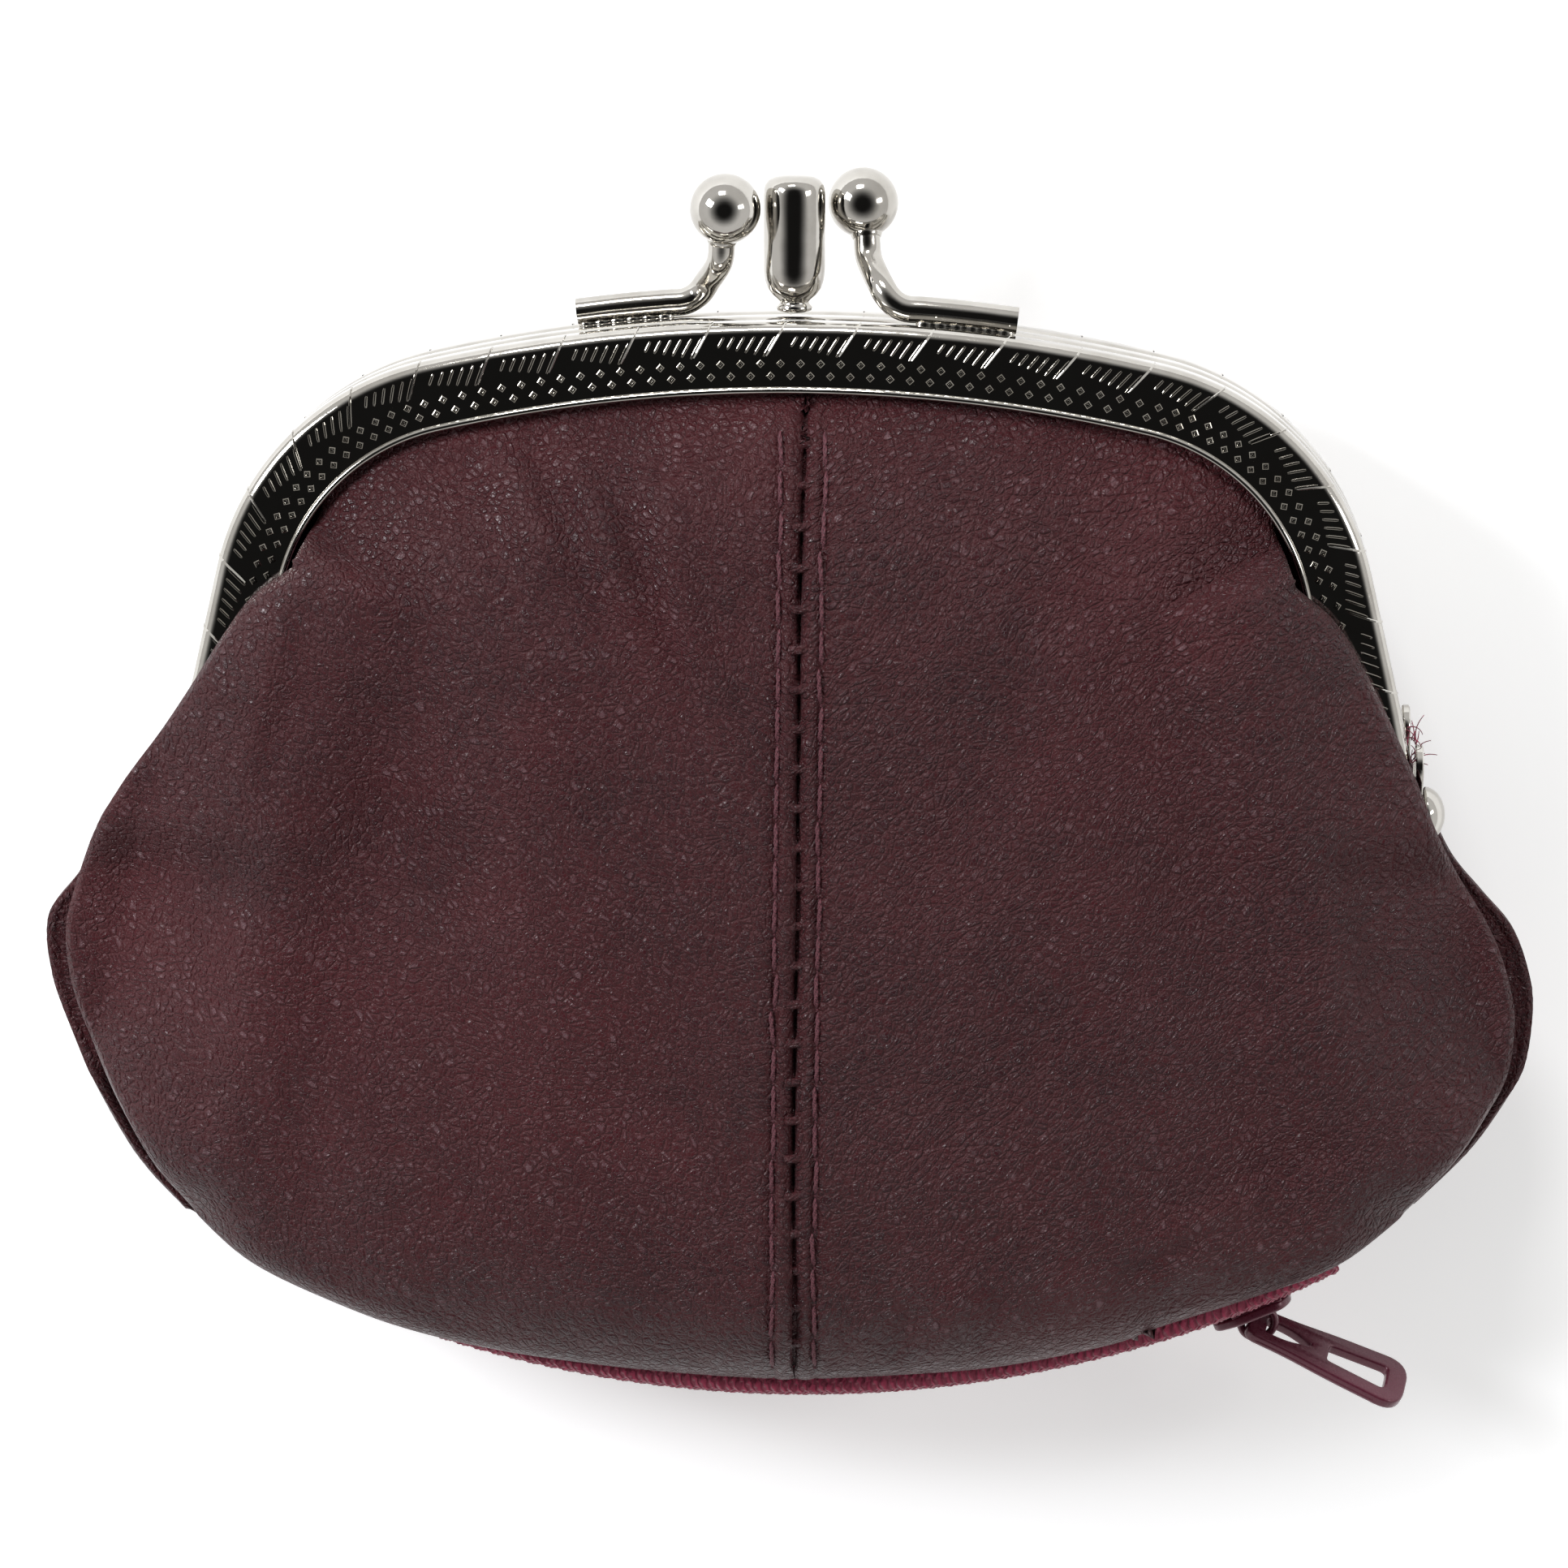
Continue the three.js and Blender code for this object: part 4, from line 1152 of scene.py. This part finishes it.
def shell(outer, thickness, z_sign, hem=0.3, flat_corners=False):
    """A closed sheet: the outer grid, an inner grid a thickness inside it, and a rounded rim between them.

    flat_corners is for a grid whose outer corners lie on a smooth outline, where its directions run together.
    """
    rows, cols, _ = outer.shape
    du = np.gradient(outer, axis=1)
    dv = np.gradient(outer, axis=0)
    normals = np.cross(du, dv)
    normals /= np.linalg.norm(normals, axis=2)[:, :, None] + 1e-12
    flip = np.sign(normals[:, :, 2].mean()) * z_sign
    normals *= flip
    if flat_corners:
        normals[:3, -3:] = normals[3, -4]
        normals[-3:, -3:] = normals[-4, -4]
    inner = outer - normals * thickness
    loop = [(0, j) for j in range(cols)] + [(i, cols - 1) for i in range(1, rows)]
    loop += [(rows - 1, j) for j in range(cols - 2, -1, -1)] + [(i, 0) for i in range(rows - 2, 0, -1)]
    mids = []
    for i, j in loop:
        ii, jj = min(max(i, 1), rows - 2), min(max(j, 1), cols - 2)
        away = outer[i, j] - outer[ii, jj]
        away -= normals[i, j] * away.dot(normals[i, j])
        away /= np.linalg.norm(away) + 1e-12
        bulge = hem if j > 0 else 0.0
        mids.append(outer[i, j] - normals[i, j] * thickness * 0.5 + away * bulge)
    verts = np.vstack([outer.reshape(-1, 3), inner.reshape(-1, 3), np.array(mids)])
    faces = []
    n = rows * cols
    grid_faces = quads(rows, cols)
    faces += grid_faces
    faces += [[n + a, n + d, n + c, n + b] for a, b, c, d in grid_faces]
    for k in range(len(loop)):
        a = loop[k][0] * cols + loop[k][1]
        b = loop[(k + 1) % len(loop)][0] * cols + loop[(k + 1) % len(loop)][1]
        m, m2 = 2 * n + k, 2 * n + (k + 1) % len(loop)
        faces.append([a, m, m2, b])
        faces.append([m, n + a, n + b, m2])
    return verts, faces


def column_fractions(width):
    """Columns from the seam to the outer edge, close together near both."""
    near = np.array(COLUMNS_NEAR_SEAM)
    rest = np.linspace(near[-1], width, 66)[1:]
    # closer together at the outer edge, where the leather rolls over
    t = (rest - near[-1]) / (width - near[-1])
    rest = near[-1] + (width - near[-1]) * (t * 1.18 - 0.18 * t**3.5)
    return np.r_[near, rest] / width


def place_blended(obj, materials, nodes=()):
    """Dresses a piece that rides on no body, its placement baked into its mesh, and hides the CAD parts it
    replaces.
    """
    dress(obj, *materials)
    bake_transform(obj)
    if nodes:
        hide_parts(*nodes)


# how much wider each half is than the outline, by (face, side)
SWELL = {(1, -1): 0.0, (1, 1): 0.0, (-1, -1): 0.05, (-1, 1): 0.034}
PANEL_WIDTH = 54.0
surfaces = {}


def leather_half(face_name, face, side_name, side):
    """One half of one face, from the seam to the flank."""
    flank, bottom, *patch = outline_curves(side, SWELL[face, side])
    u = column_fractions(PANEL_WIDTH)
    v = np.linspace(0, 1, ROWS)
    grid = coons(*patch, u, v)
    x, y = grid[:, :, 0].ravel(), grid[:, :, 1].ravel()
    x = x + side * 0.04 * (np.abs(x - seam_x(y)) < 0.02)
    h = leather_height(x, y, side, face, flank, bottom)
    outer = np.column_stack([x, y, MID_Z + face * h]).reshape(len(v), len(u), 3)
    verts, faces = shell(outer, LEATHER_THICK, face, flat_corners=True)
    obj = fix_normals(new_mesh(f"{face_name}_leather_{side_name}", verts, faces))
    nodes = [f"{face_name}_panel_{part}_{side_name}" for part in ("lower", "upper")]
    place_blended(obj, [leather_left if side < 0 else leather_right], nodes)
    surfaces[face_name, side_name] = (flank, bottom)


for face_name, face in FACES:
    for side_name, side in SIDES:
        leather_half(face_name, face, side_name, side)


def surface_z(x, y, face_name, face, lift):
    """Z of the leather's outer surface at points near the seam, plus a lift outward."""
    out = np.empty(len(x))
    for side_name, side in SIDES:
        pick = (x < seam_x(y)) if side < 0 else (x >= seam_x(y))
        flank, bottom = surfaces[face_name, side_name]
        if pick.any():
            out[pick] = leather_height(x[pick], y[pick], side, face, flank, bottom)
    return MID_Z + face * (out + lift)


def seam_thread(face_name, face):
    """Two lines of twisted thread beside the seam, with a near-black disc of painted shade for the needle
    hole at the end of each stitch.
    """
    build = Build()
    for side in (-1, 1):
        for k, y0 in enumerate(np.arange(SEAM_FROM, SEAM_TO - STITCH_PITCH, STITCH_PITCH)):
            y = np.linspace(y0 + 0.22, y0 + STITCH_PITCH - 0.2, 9)
            drift = rng.normal(0, 0.05)
            x = seam_x(y) + side * (STITCH_OFFSET + 0.05 * math.sin(k * 1.7)) + drift * (y - y[0])
            t = np.linspace(-1, 1, 9)
            for strand in (0, 1):
                turn = 2 * np.pi * (np.linspace(0, 1.6, 9) + strand / 2)
                lift = 0.17 - 0.3 * np.abs(t) ** 5 + 0.06 * np.cos(turn)
                z = surface_z(x, y, face_name, face, lift)
                path = np.column_stack([x + 0.07 * np.sin(turn), y, z])
                build.add(*tube(path, 0.13, 6, round_ends=True))
            # a near-black disc at each needle hole: painted shade in the hole
            depth = 0.07 if side > 0 else 0.045
            centre = np.array([x[0], y0 + 0.02, 0.0])
            centre[2] = surface_z(centre[:1], centre[1:2], face_name, face, -0.02)[0]
            pit = [(0, -0.05), (depth * 3.0, -0.03), (depth * 3.4, 0.02), (depth * 2.2, 0.045), (0, 0.05)]
            verts, faces = lathe(pit, 10, centre, (0, 0, face))
            verts[:, 1] = centre[1] + (verts[:, 1] - centre[1]) * 0.75
            build.add(verts, faces, 1)
    obj = fix_normals(build.obj(f"{face_name}_seam_stitches"))
    place_blended(obj, [thread, hole])


def seam_bars(face_name, face):
    """Short bars across the seam, and a near-black strip for the lining at the bottom of the slits between
    them: painted shade in the slits.
    """
    build = Build()
    for y0 in np.arange(math.ceil(SEAM_FROM / BAR_PITCH) * BAR_PITCH, SEAM_TO, BAR_PITCH):
        t = np.linspace(-0.55, 0.55, 9)
        ridge = surface_z(seam_x(np.full(1, y0)) + 0.6, np.array([y0]), face_name, face, 0)[0]
        z = ridge + face * (-0.2 + 0.1 * np.cos(t * 2.4))
        verts, faces = tube(np.column_stack([seam_x(y0) + t, y0 + 0.12 * t, z]), 0.34, 10)
        verts[:, 2] = z.mean() + (verts[:, 2] - z.mean()) * 0.6
        build.add(verts, faces)
    # a near-black strip under the slits: painted shade at their bottom
    y = np.linspace(SEAM_FROM, SEAM_TO, 120)
    below = surface_z(seam_x(y) - 0.5, y, face_name, face, -0.95)
    grid = np.array([[[seam_x(yy) + dx, yy, zz] for dx in (-0.55, 0.0, 0.55)] for yy, zz in zip(y, below)])
    verts, faces = shell(grid, 0.2, face, hem=0.0)
    build.add(verts, faces, 1)
    obj = fix_normals(build.obj(f"{face_name}_seam_bars"))
    place_blended(obj, [leather_right, hole])


for face_name, face in FACES:
    seam_thread(face_name, face)
    seam_bars(face_name, face)


# ---------------------------------------------------------------------------
# Cloth inside: the linings, the divider in the middle frame and the two layers of the zip pocket
# ---------------------------------------------------------------------------
LINING_GAP, LINING_THICK = 0.695, 0.3


def lining_half(face_name, face, side_name, side):
    """The cloth behind one half of one face, tucked into the channel at its top."""
    flank, bottom, *patch = outline_curves(side, SWELL[face, side])
    u, v = np.linspace(0, 1, 46), np.linspace(0, 1, 64)
    grid = coons(*patch, u, v)
    x, y = grid[:, :, 0].ravel(), grid[:, :, 1].ravel()
    pull = smoothstep(-y, -72, -48)
    x, y = x * (1 - 0.01 - 0.03 * pull), y + (34 - y) * 0.045 * pull
    h = leather_height(x, y, side, face, flank, bottom) - LEATHER_THICK - LINING_GAP
    h = h - 0.3 * (1 + value_noise(np.column_stack([x, y]), 0.06, 200 + side + face, 3))
    distance, inset = arch_place(x, y)
    tucked = 1 - smoothstep(inset, CHANNEL_DEPTH - 0.4, CHANNEL_DEPTH + 2.5)
    h = np.where(np.abs(distance) < LEAVES_RIM[side] + 6, h * (1 - tucked) + 3.05 * tucked, h)
    ceiling = 3.2 + np.maximum(inset - CHANNEL_DEPTH, 0) * 0.9
    h = np.minimum(h, ceiling + 40 * smoothstep(np.abs(distance), 62, 70))
    outer = np.column_stack([x, y, MID_Z + face * h]).reshape(len(v), len(u), 3)
    verts, faces = shell(outer, LINING_THICK, face, hem=0.05, flat_corners=True)
    obj = fix_normals(new_mesh(f"{face_name}_cloth_{side_name}", verts, faces))
    place_blended(obj, [lining_cloth], [f"{face_name}_lining_{side_name}"])


for face_name, face in FACES:
    for side_name, side in SIDES:
        lining_half(face_name, face, side_name, side)


def divider():
    """The cloth that spans the middle frame."""
    u, v = np.linspace(-1, 1, 90), np.linspace(0, 1, 48)
    reach = CORNER_START + 3.0
    top = arch(u * reach, 2.6)
    low = np.column_stack([u * 42.5, np.full(len(u), 44.6)])
    grid = top[None] + (low - top)[None] * v[:, None, None]
    x, y = grid[:, :, 0].ravel(), grid[:, :, 1].ravel()
    points = np.column_stack([x, y])
    inner = smoothstep(arch_place(x, y)[1], 5.0, 14)
    ripple = 0.75 * value_noise(points, 0.028, 300, 3) * inner * smoothstep(y, 44, 52)
    z = MID_Z - 0.3 + ripple
    outer = np.column_stack([x, y, z]).reshape(len(v), len(u), 3)
    verts, faces = shell(outer, 0.35, 1, hem=0.05)
    obj = fix_normals(new_mesh("divider_cloth", verts, faces))
    place(obj, "root", [lining_cloth], "lining", ["divider_upper"])


def pocket(face_name, face):
    """One layer of the zip pocket, hung from the divider's foot down to the zip."""
    u, v = np.linspace(-1, 1, 80), np.linspace(0, 1, 54)
    uu, vv = np.meshgrid(u, v)
    a, w = uu.ravel(), vv.ravel()
    bottom = 5.2 + 9 * a**2
    y = 45.0 + (bottom - 45.0) * w
    x = a * (41.0 + 6.6 * np.sin(np.pi * w))
    spread = np.clip((33 - y) / 28, 0, 1)
    h = 0.45 + 2.4 * spread * (1 - a**4)
    ripple = 0.22 * (1 + value_noise(np.column_stack([x, y]), 0.035, 310 + face, 3))
    h = h + ripple * (1 - a**6) * smoothstep(w, 0, 0.2)
    outer = np.column_stack([x, y, MID_Z + face * (h + 0.3)]).reshape(len(v), len(u), 3)
    verts, faces = shell(outer, 0.3, face, hem=0.05)
    obj = fix_normals(new_mesh(f"{face_name}_pocket_cloth", verts, faces))
    place(obj, "root", [lining_cloth], "lining", [f"{face_name}_divider_lower"])


divider()
for face_name, face in FACES:
    pocket(face_name, face)


GUSSET_TOP = 0.14


def gusset(side_name, side):
    """A leather side wall that folds inward between the two faces, from just below the hinge."""
    flank = LEFT_FLANK if side < 0 else RIGHT_FLANK
    low = LEFT_BOTTOM if side < 0 else RIGHT_BOTTOM
    line = np.array([p for p in flank if p[1] < 47] + list(low[:1]))
    v, u = np.linspace(0, 1, 90), np.linspace(-1, 1, 25)
    path = resample(line, GUSSET_TOP + (1 - GUSSET_TOP) * v)
    tangent = np.gradient(path, axis=0)
    tangent /= np.linalg.norm(tangent, axis=1)[:, None]
    inward = np.column_stack([tangent[:, 1], -tangent[:, 0]]) * side
    depth = 2.0 + 1.7 * smoothstep(38 - path[:, 1], -4, 14)
    grid = np.empty((len(v), len(u), 3))
    for j, w in enumerate(u):
        fold = 1.3 + 3.2 * (1 - abs(w)) ** 0.8 + 0.25 * np.sin(v * 21 + 2 * w)
        grid[:, j, :2] = path + inward * fold[:, None]
        grid[:, j, 2] = MID_Z + w * depth
    verts, faces = shell(grid, 0.7, 1, hem=0.1)
    obj = fix_normals(new_mesh(f"{side_name}_gusset_fold", verts, faces))
    place(obj, "root", [leather_right], "leather", [f"{side_name}_gusset"])


for side_name, side in SIDES:
    gusset(side_name, side)


# ---------------------------------------------------------------------------
# Zip
# ---------------------------------------------------------------------------
ZIP_R = 93.0
ZIP_CENTRE_Y = 93.0


def zip_point(arc, rho, z):
    """Point at an angle along the zip's arc (radians from the lowest point), a radius and a height."""
    arc, rho, z = np.broadcast_arrays(np.asarray(arc, float), rho, z)
    return np.stack([rho * np.sin(arc), ZIP_CENTRE_Y - rho * np.cos(arc), z], -1)


TOOTH_PITCH, TOOTH_MIDDLE = 1.5, 0.7
TAPE_ANGLE = math.radians(27.5)
CHAIN_ANGLE = math.radians(25.5)


def zip_tape(face_name, face):
    """A woven strip that lies flat beside the teeth and turns up behind the leather's hem."""
    path = [
        (92.72, 1.75), (92.76, 2.3), (92.78, 2.9), (92.76, 3.5), (92.68, 3.95), (92.42, 4.28), (91.95, 4.4),
        (91.3, 4.42), (90.6, 4.4), (89.8, 4.3), (89.0, 4.1),
    ]
    path = smooth_path([(r, h, 0) for r, h in path], 24)[:, :2]
    normal = np.gradient(path, axis=0)
    normal = np.column_stack([normal[:, 1], -normal[:, 0]])
    normal /= np.linalg.norm(normal, axis=1)[:, None]
    along = np.linspace(-TAPE_ANGLE, TAPE_ANGLE, 860)
    s = along * ZIP_R
    t = np.arange(len(path)) * 0.28
    grid = np.empty((len(along), len(path), 3))
    for j in range(len(path)):
        zig = abs((t[j] % 1.3) - 0.65)
        rib = 0.09 * np.sin(2 * np.pi * (s + 1.5 * zig) / 0.72)
        edge = 0.05 * np.sin(2 * np.pi * s / 1.45 + 1.3 * j)
        lift = 0.22 + rib * (0.6 + 0.4 * math.cos(j)) + edge
        wave = 0.12 * np.sin(s * 0.31 + face) + 0.08 * np.sin(s * 0.83)
        rho = path[j, 0] + normal[j, 0] * lift + wave * (j > 10)
        h = path[j, 1] + normal[j, 1] * lift
        grid[:, j] = zip_point(along, rho, MID_Z + face * h)
    verts, faces = shell(grid, 0.45, 1, hem=0.1)
    obj = fix_normals(new_mesh(f"{face_name}_zip_tape", verts, faces))
    place(obj, "root", [tape_cloth], "zip_tape", [f"zip_tape_{face_name}"])


def zip_teeth(face_name, face):
    """Moulded teeth at an even pitch, staggered against the other row, on a stitched cord."""
    half = [(0.25, 1.55), (0.25, 0.7), (0.31, 0.25), (0.25, -0.1), (0.1, -0.22)]
    outline = [(-0.25, 1.55)] + half + [(-a, b) for a, b in half[:0:-1]]
    n = len(outline)
    faces = quads(4, n, close_cols=True) + [list(range(n)), list(range(3 * n, 4 * n))]
    build = Build()
    pitch = TOOTH_PITCH / ZIP_R
    stagger = 0.5 if face > 0 else 0.99
    for k in range(int(2 * CHAIN_ANGLE / pitch)):
        centre = -CHAIN_ANGLE + (k + stagger) * pitch
        loops = []
        for rho, shrink in ((91.95, 0.75), (92.15, 1.0), (92.75, 1.0), (92.98, 0.75)):
            for a, b in outline:
                across = TOOTH_MIDDLE + (b - TOOTH_MIDDLE) * shrink
                loops.append(zip_point(centre + a * shrink / ZIP_R, rho, MID_Z + face * across))
        build.add(np.array(loops), faces)
    along = np.linspace(-CHAIN_ANGLE, CHAIN_ANGLE, 420)
    s = along * ZIP_R
    for strand in (0, 1):
        wobble = 2 * np.pi * s / TOOTH_PITCH + strand * np.pi
        cord = zip_point(along, 92.5 + 0.16 * np.sin(wobble), MID_Z + face * (1.5 + 0.16 * np.cos(wobble)))
        build.add(*tube(cord, 0.2, 6))
    obj = fix_normals(build.obj(f"{face_name}_zip_teeth"))
    place(obj, "root", [coil_plastic], "zip_teeth", [f"zip_chain_{face_name}"])


for face_name, face in FACES:
    zip_tape(face_name, face)
    zip_teeth(face_name, face)


def zip_end_tab(side_name, side):
    """A folded leather tab that closes each end of the zip."""
    low = math.radians(25.3)
    high = math.radians(28.6)
    v, u = np.linspace(0, 1, 30), np.linspace(0, 2 * np.pi, 40, endpoint=False)
    grid = []
    for t in v:
        arc = side * (low + (high - low) * t)
        swell = 0.75 + 0.25 * math.sin(math.pi * min(1, 0.15 + t))
        end = math.sqrt(max(0.0, 1 - max(0, (t - 0.75) / 0.25) ** 2)) * 0.75 + 0.25
        ring = []
        for a in u:
            flat = np.sign(math.cos(a)) * abs(math.cos(a)) ** 0.6 * 3.9 * swell * end
            deep = np.sign(math.sin(a)) * abs(math.sin(a)) ** 0.7 * 0.95 * end
            ring.append(zip_point(arc, 92.0 + deep + 0.15 * math.sin(4 * t + 0.5 * a), MID_Z + flat))
        grid.append(ring)
    grid = np.array(grid)
    rows, cols = grid.shape[:2]
    faces = quads(rows, cols, close_cols=True)
    faces += [list(range(cols)), list(range((rows - 1) * cols, rows * cols))]
    obj = fix_normals(new_mesh(f"{side_name}_zip_tab", grid.reshape(-1, 3), faces))
    place(obj, "root", [leather_left], "leather", [f"{side_name}_zip_stop"])


for side_name, side in SIDES:
    zip_end_tab(side_name, side)


def curve_plate(splines, extrude, bevel):
    """Verts and faces of a flat plate with holes and rounded edges, from closed 2-D splines."""
    data = bpy.data.curves.new("outline", "CURVE")
    data.dimensions = "2D"
    data.fill_mode = "BOTH"
    data.extrude = extrude
    data.bevel_depth = bevel
    data.bevel_resolution = 3
    for points in splines:
        spline = data.splines.new("POLY")
        spline.points.add(len(points) - 1)
        for point, (x, y) in zip(spline.points, points):
            point.co = (x, y, 0, 1)
        spline.use_cyclic_u = True
    obj = bpy.data.objects.new("outline", data)
    bpy.context.scene.collection.objects.link(obj)
    bpy.context.view_layer.update()
    mesh = bpy.data.meshes.new_from_object(obj.evaluated_get(bpy.context.evaluated_depsgraph_get()))
    verts = np.array([v.co for v in mesh.vertices], float)
    faces = [list(p.vertices) for p in mesh.polygons]
    bpy.data.objects.remove(obj)
    bpy.data.curves.remove(data)
    bpy.data.meshes.remove(mesh)
    return verts, faces


def mirrored(points):
    """The outline that these points and their mirror images across the X axis make."""
    return points + [(x, -y) for x, y in reversed(points)]


def rounded(points, radius, steps=7):
    """A polygon with its corners rounded; radius is one number or one per corner."""
    points = np.asarray(points, float)
    radii = np.broadcast_to(np.asarray(radius, float), len(points))
    out = []
    for i, p in enumerate(points):
        a, b = points[i - 1] - p, points[(i + 1) % len(points)] - p
        la, lb = np.linalg.norm(a), np.linalg.norm(b)
        cut = min(radii[i], 0.48 * la, 0.48 * lb)
        start, end = p + a / la * cut, p + b / lb * cut
        for t in np.linspace(0, 1, steps):
            out.append((1 - t) ** 2 * start + 2 * t * (1 - t) * p + t**2 * end)
    return [tuple(q) for q in out]


SLIDER_ARC = math.radians(22.8)


def slider_place(points):
    """Local (along, outward, across) to the drawing frame, wrapped round the zip's arc."""
    points = np.asarray(points, float)
    return zip_point(SLIDER_ARC + points[:, 0] / ZIP_R, ZIP_R + points[:, 1], MID_Z + points[:, 2])


def zip_slider():
    """Two rounded plates over and under the teeth, joined at the nose, with a ring for the puller."""
    build = Build()
    plate = rounded(mirrored([(-3.0, -1.9), (-1.2, -2.65), (2.3, -2.65), (3.0, -1.6)]), 0.7)
    for level in (0.78, -1.82):
        verts, faces = curve_plate([plate], 0.14, 0.24)
        local = np.column_stack([verts[:, 0], level + verts[:, 2], verts[:, 1]])
        local[:, 1] += 0.05 * (level > 0) * (1 - (local[:, 2] / 2.7) ** 2)
        build.add(slider_place(local), faces)
    # side flanges, the nose wedge between the plates, and the ring that carries the puller
    for sign in (-1, 1):
        for level in (0.35, -1.45):
            rail = np.array([[t, level, sign * 2.52] for t in np.linspace(-1.5, 2.5, 14)])
            build.add(*tube(slider_place(rail), 0.2, 10))
    wedge = rounded(mirrored([(-2.6, -0.22), (-0.6, -0.1)]), 0.08)
    verts, faces = curve_plate([wedge], 1.2, 0.02)
    build.add(slider_place(np.column_stack([verts[:, 0], verts[:, 2] - 0.5, verts[:, 1]])), faces)
    turn = np.linspace(math.radians(-35), math.radians(215), 34)
    ring = np.column_stack([1.32 * np.cos(turn), 2.05 + 1.28 * np.sin(turn), 0 * turn])
    build.add(*tube(slider_place(ring), 0.33, 12))
    foot = np.array([[t, 1.12, 0] for t in np.linspace(-1.7, 1.7, 12)])
    build.add(*tube(slider_place(foot), 0.36, 12))
    obj = fix_normals(weld(build.obj("slider_shell")))
    place(obj, "slider_body", [painted], "painted_metal", ["zip_slider"])
    split_edges(obj, 45)


PULLER_JOINT = next(j for j in frame["joints"] if j["name"] == "puller_pivot")
PULLER_ROLL, PULLER_HEADING = math.radians(27), math.radians(-24)


def turned(a, b, angle):
    """Two coordinates turned by an angle in their plane."""
    return math.cos(angle) * a - math.sin(angle) * b, math.sin(angle) * a + math.cos(angle) * b


def drawn_in(points, share):
    """The outline drawn in towards its middle by a share."""
    return [tuple(np.array(p) * (1 - share) + np.mean(points, axis=0) * share) for p in points]


def zip_puller():
    """A long pull with a slot for the ring and a window, lying as it fell on the table."""
    outline = mirrored([(-0.8, -1.55), (2.6, -1.65), (6.2, -2.1), (12.4, -2.55)])
    outline = rounded(outline, [0.8, 2.0, 2.0, 1.9, 1.9, 2.0, 2.0, 0.8], 9)
    slot_hole = mirrored([(0.35, -0.95), (2.5, -0.95), (4.6, -0.25)])
    slot_hole = rounded(slot_hole, [0.4, 0.9, 0.25, 0.25, 0.9, 0.4], 6)
    window = rounded(mirrored([(5.7, -1.05), (11.1, -1.5)]), [0.5, 0.8, 0.8, 0.5])
    build = Build()
    verts, faces = curve_plate([outline, slot_hole, window], 0.26, 0.2)
    build.add(verts, faces)
    # a raised lip round the edge and round the window
    for points, radius in ((drawn_in(outline, 0.05), 0.34), (drawn_in(window, -0.16), 0.26)):
        closed = np.array([(x, y, 0.16) for x, y in points] + [(points[0][0], points[0][1], 0.16)])
        path = closed[np.r_[True, np.linalg.norm(np.diff(closed, axis=0), axis=1) > 1e-4]]
        build.add(*tube(path, radius, 10, round_ends=False))
    x, y, z = np.vstack(build.verts).T
    y, z = turned(y, z, math.pi / 2 + PULLER_ROLL)
    x, y = turned(x, y, PULLER_HEADING)
    pivot = np.array(PULLER_JOINT["pos_m"]) / MM
    verts = np.column_stack([x, y, z]) + [pivot[0], pivot[1] - BASE_Y, pivot[2]]
    obj = fix_normals(weld(new_mesh("puller_frame", verts, build.faces)))
    place(obj, "puller_body", [painted], "painted_metal", ["zip_puller"])
    split_edges(obj, 50)


zip_slider()
zip_puller()


def hinge_fibres():
    """Loose threads at the foot of the front frame's right leg."""
    build = Build()
    foot = arch(CORNER_START + LEG_OUTER - 3, -0.1)
    for k in range(16):
        start = np.array([foot[0], foot[1], MID_Z])
        start += [rng.uniform(-0.5, 0.5), rng.uniform(-1.6, 1.8), rng.uniform(2.6, 4.6)]
        angle = math.radians(rng.uniform(10, 110))
        reach = rng.uniform(0.8, 2.4)
        curl = rng.uniform(-1.2, 1.2)
        t = np.linspace(0, 1, 9)
        heading = angle + curl * t
        away = [reach * t * np.cos(heading), reach * t * np.sin(heading), 0.3 * np.sin(3 * t + k)]
        path = start + np.column_stack(away)
        build.add(*tube(path, np.linspace(0.06, 0.03, 9), 5))
    obj = fix_normals(build.obj("hinge_fibres"))
    place(obj, "front_frame_body", [tape_cloth], "lining")


hinge_fibres()
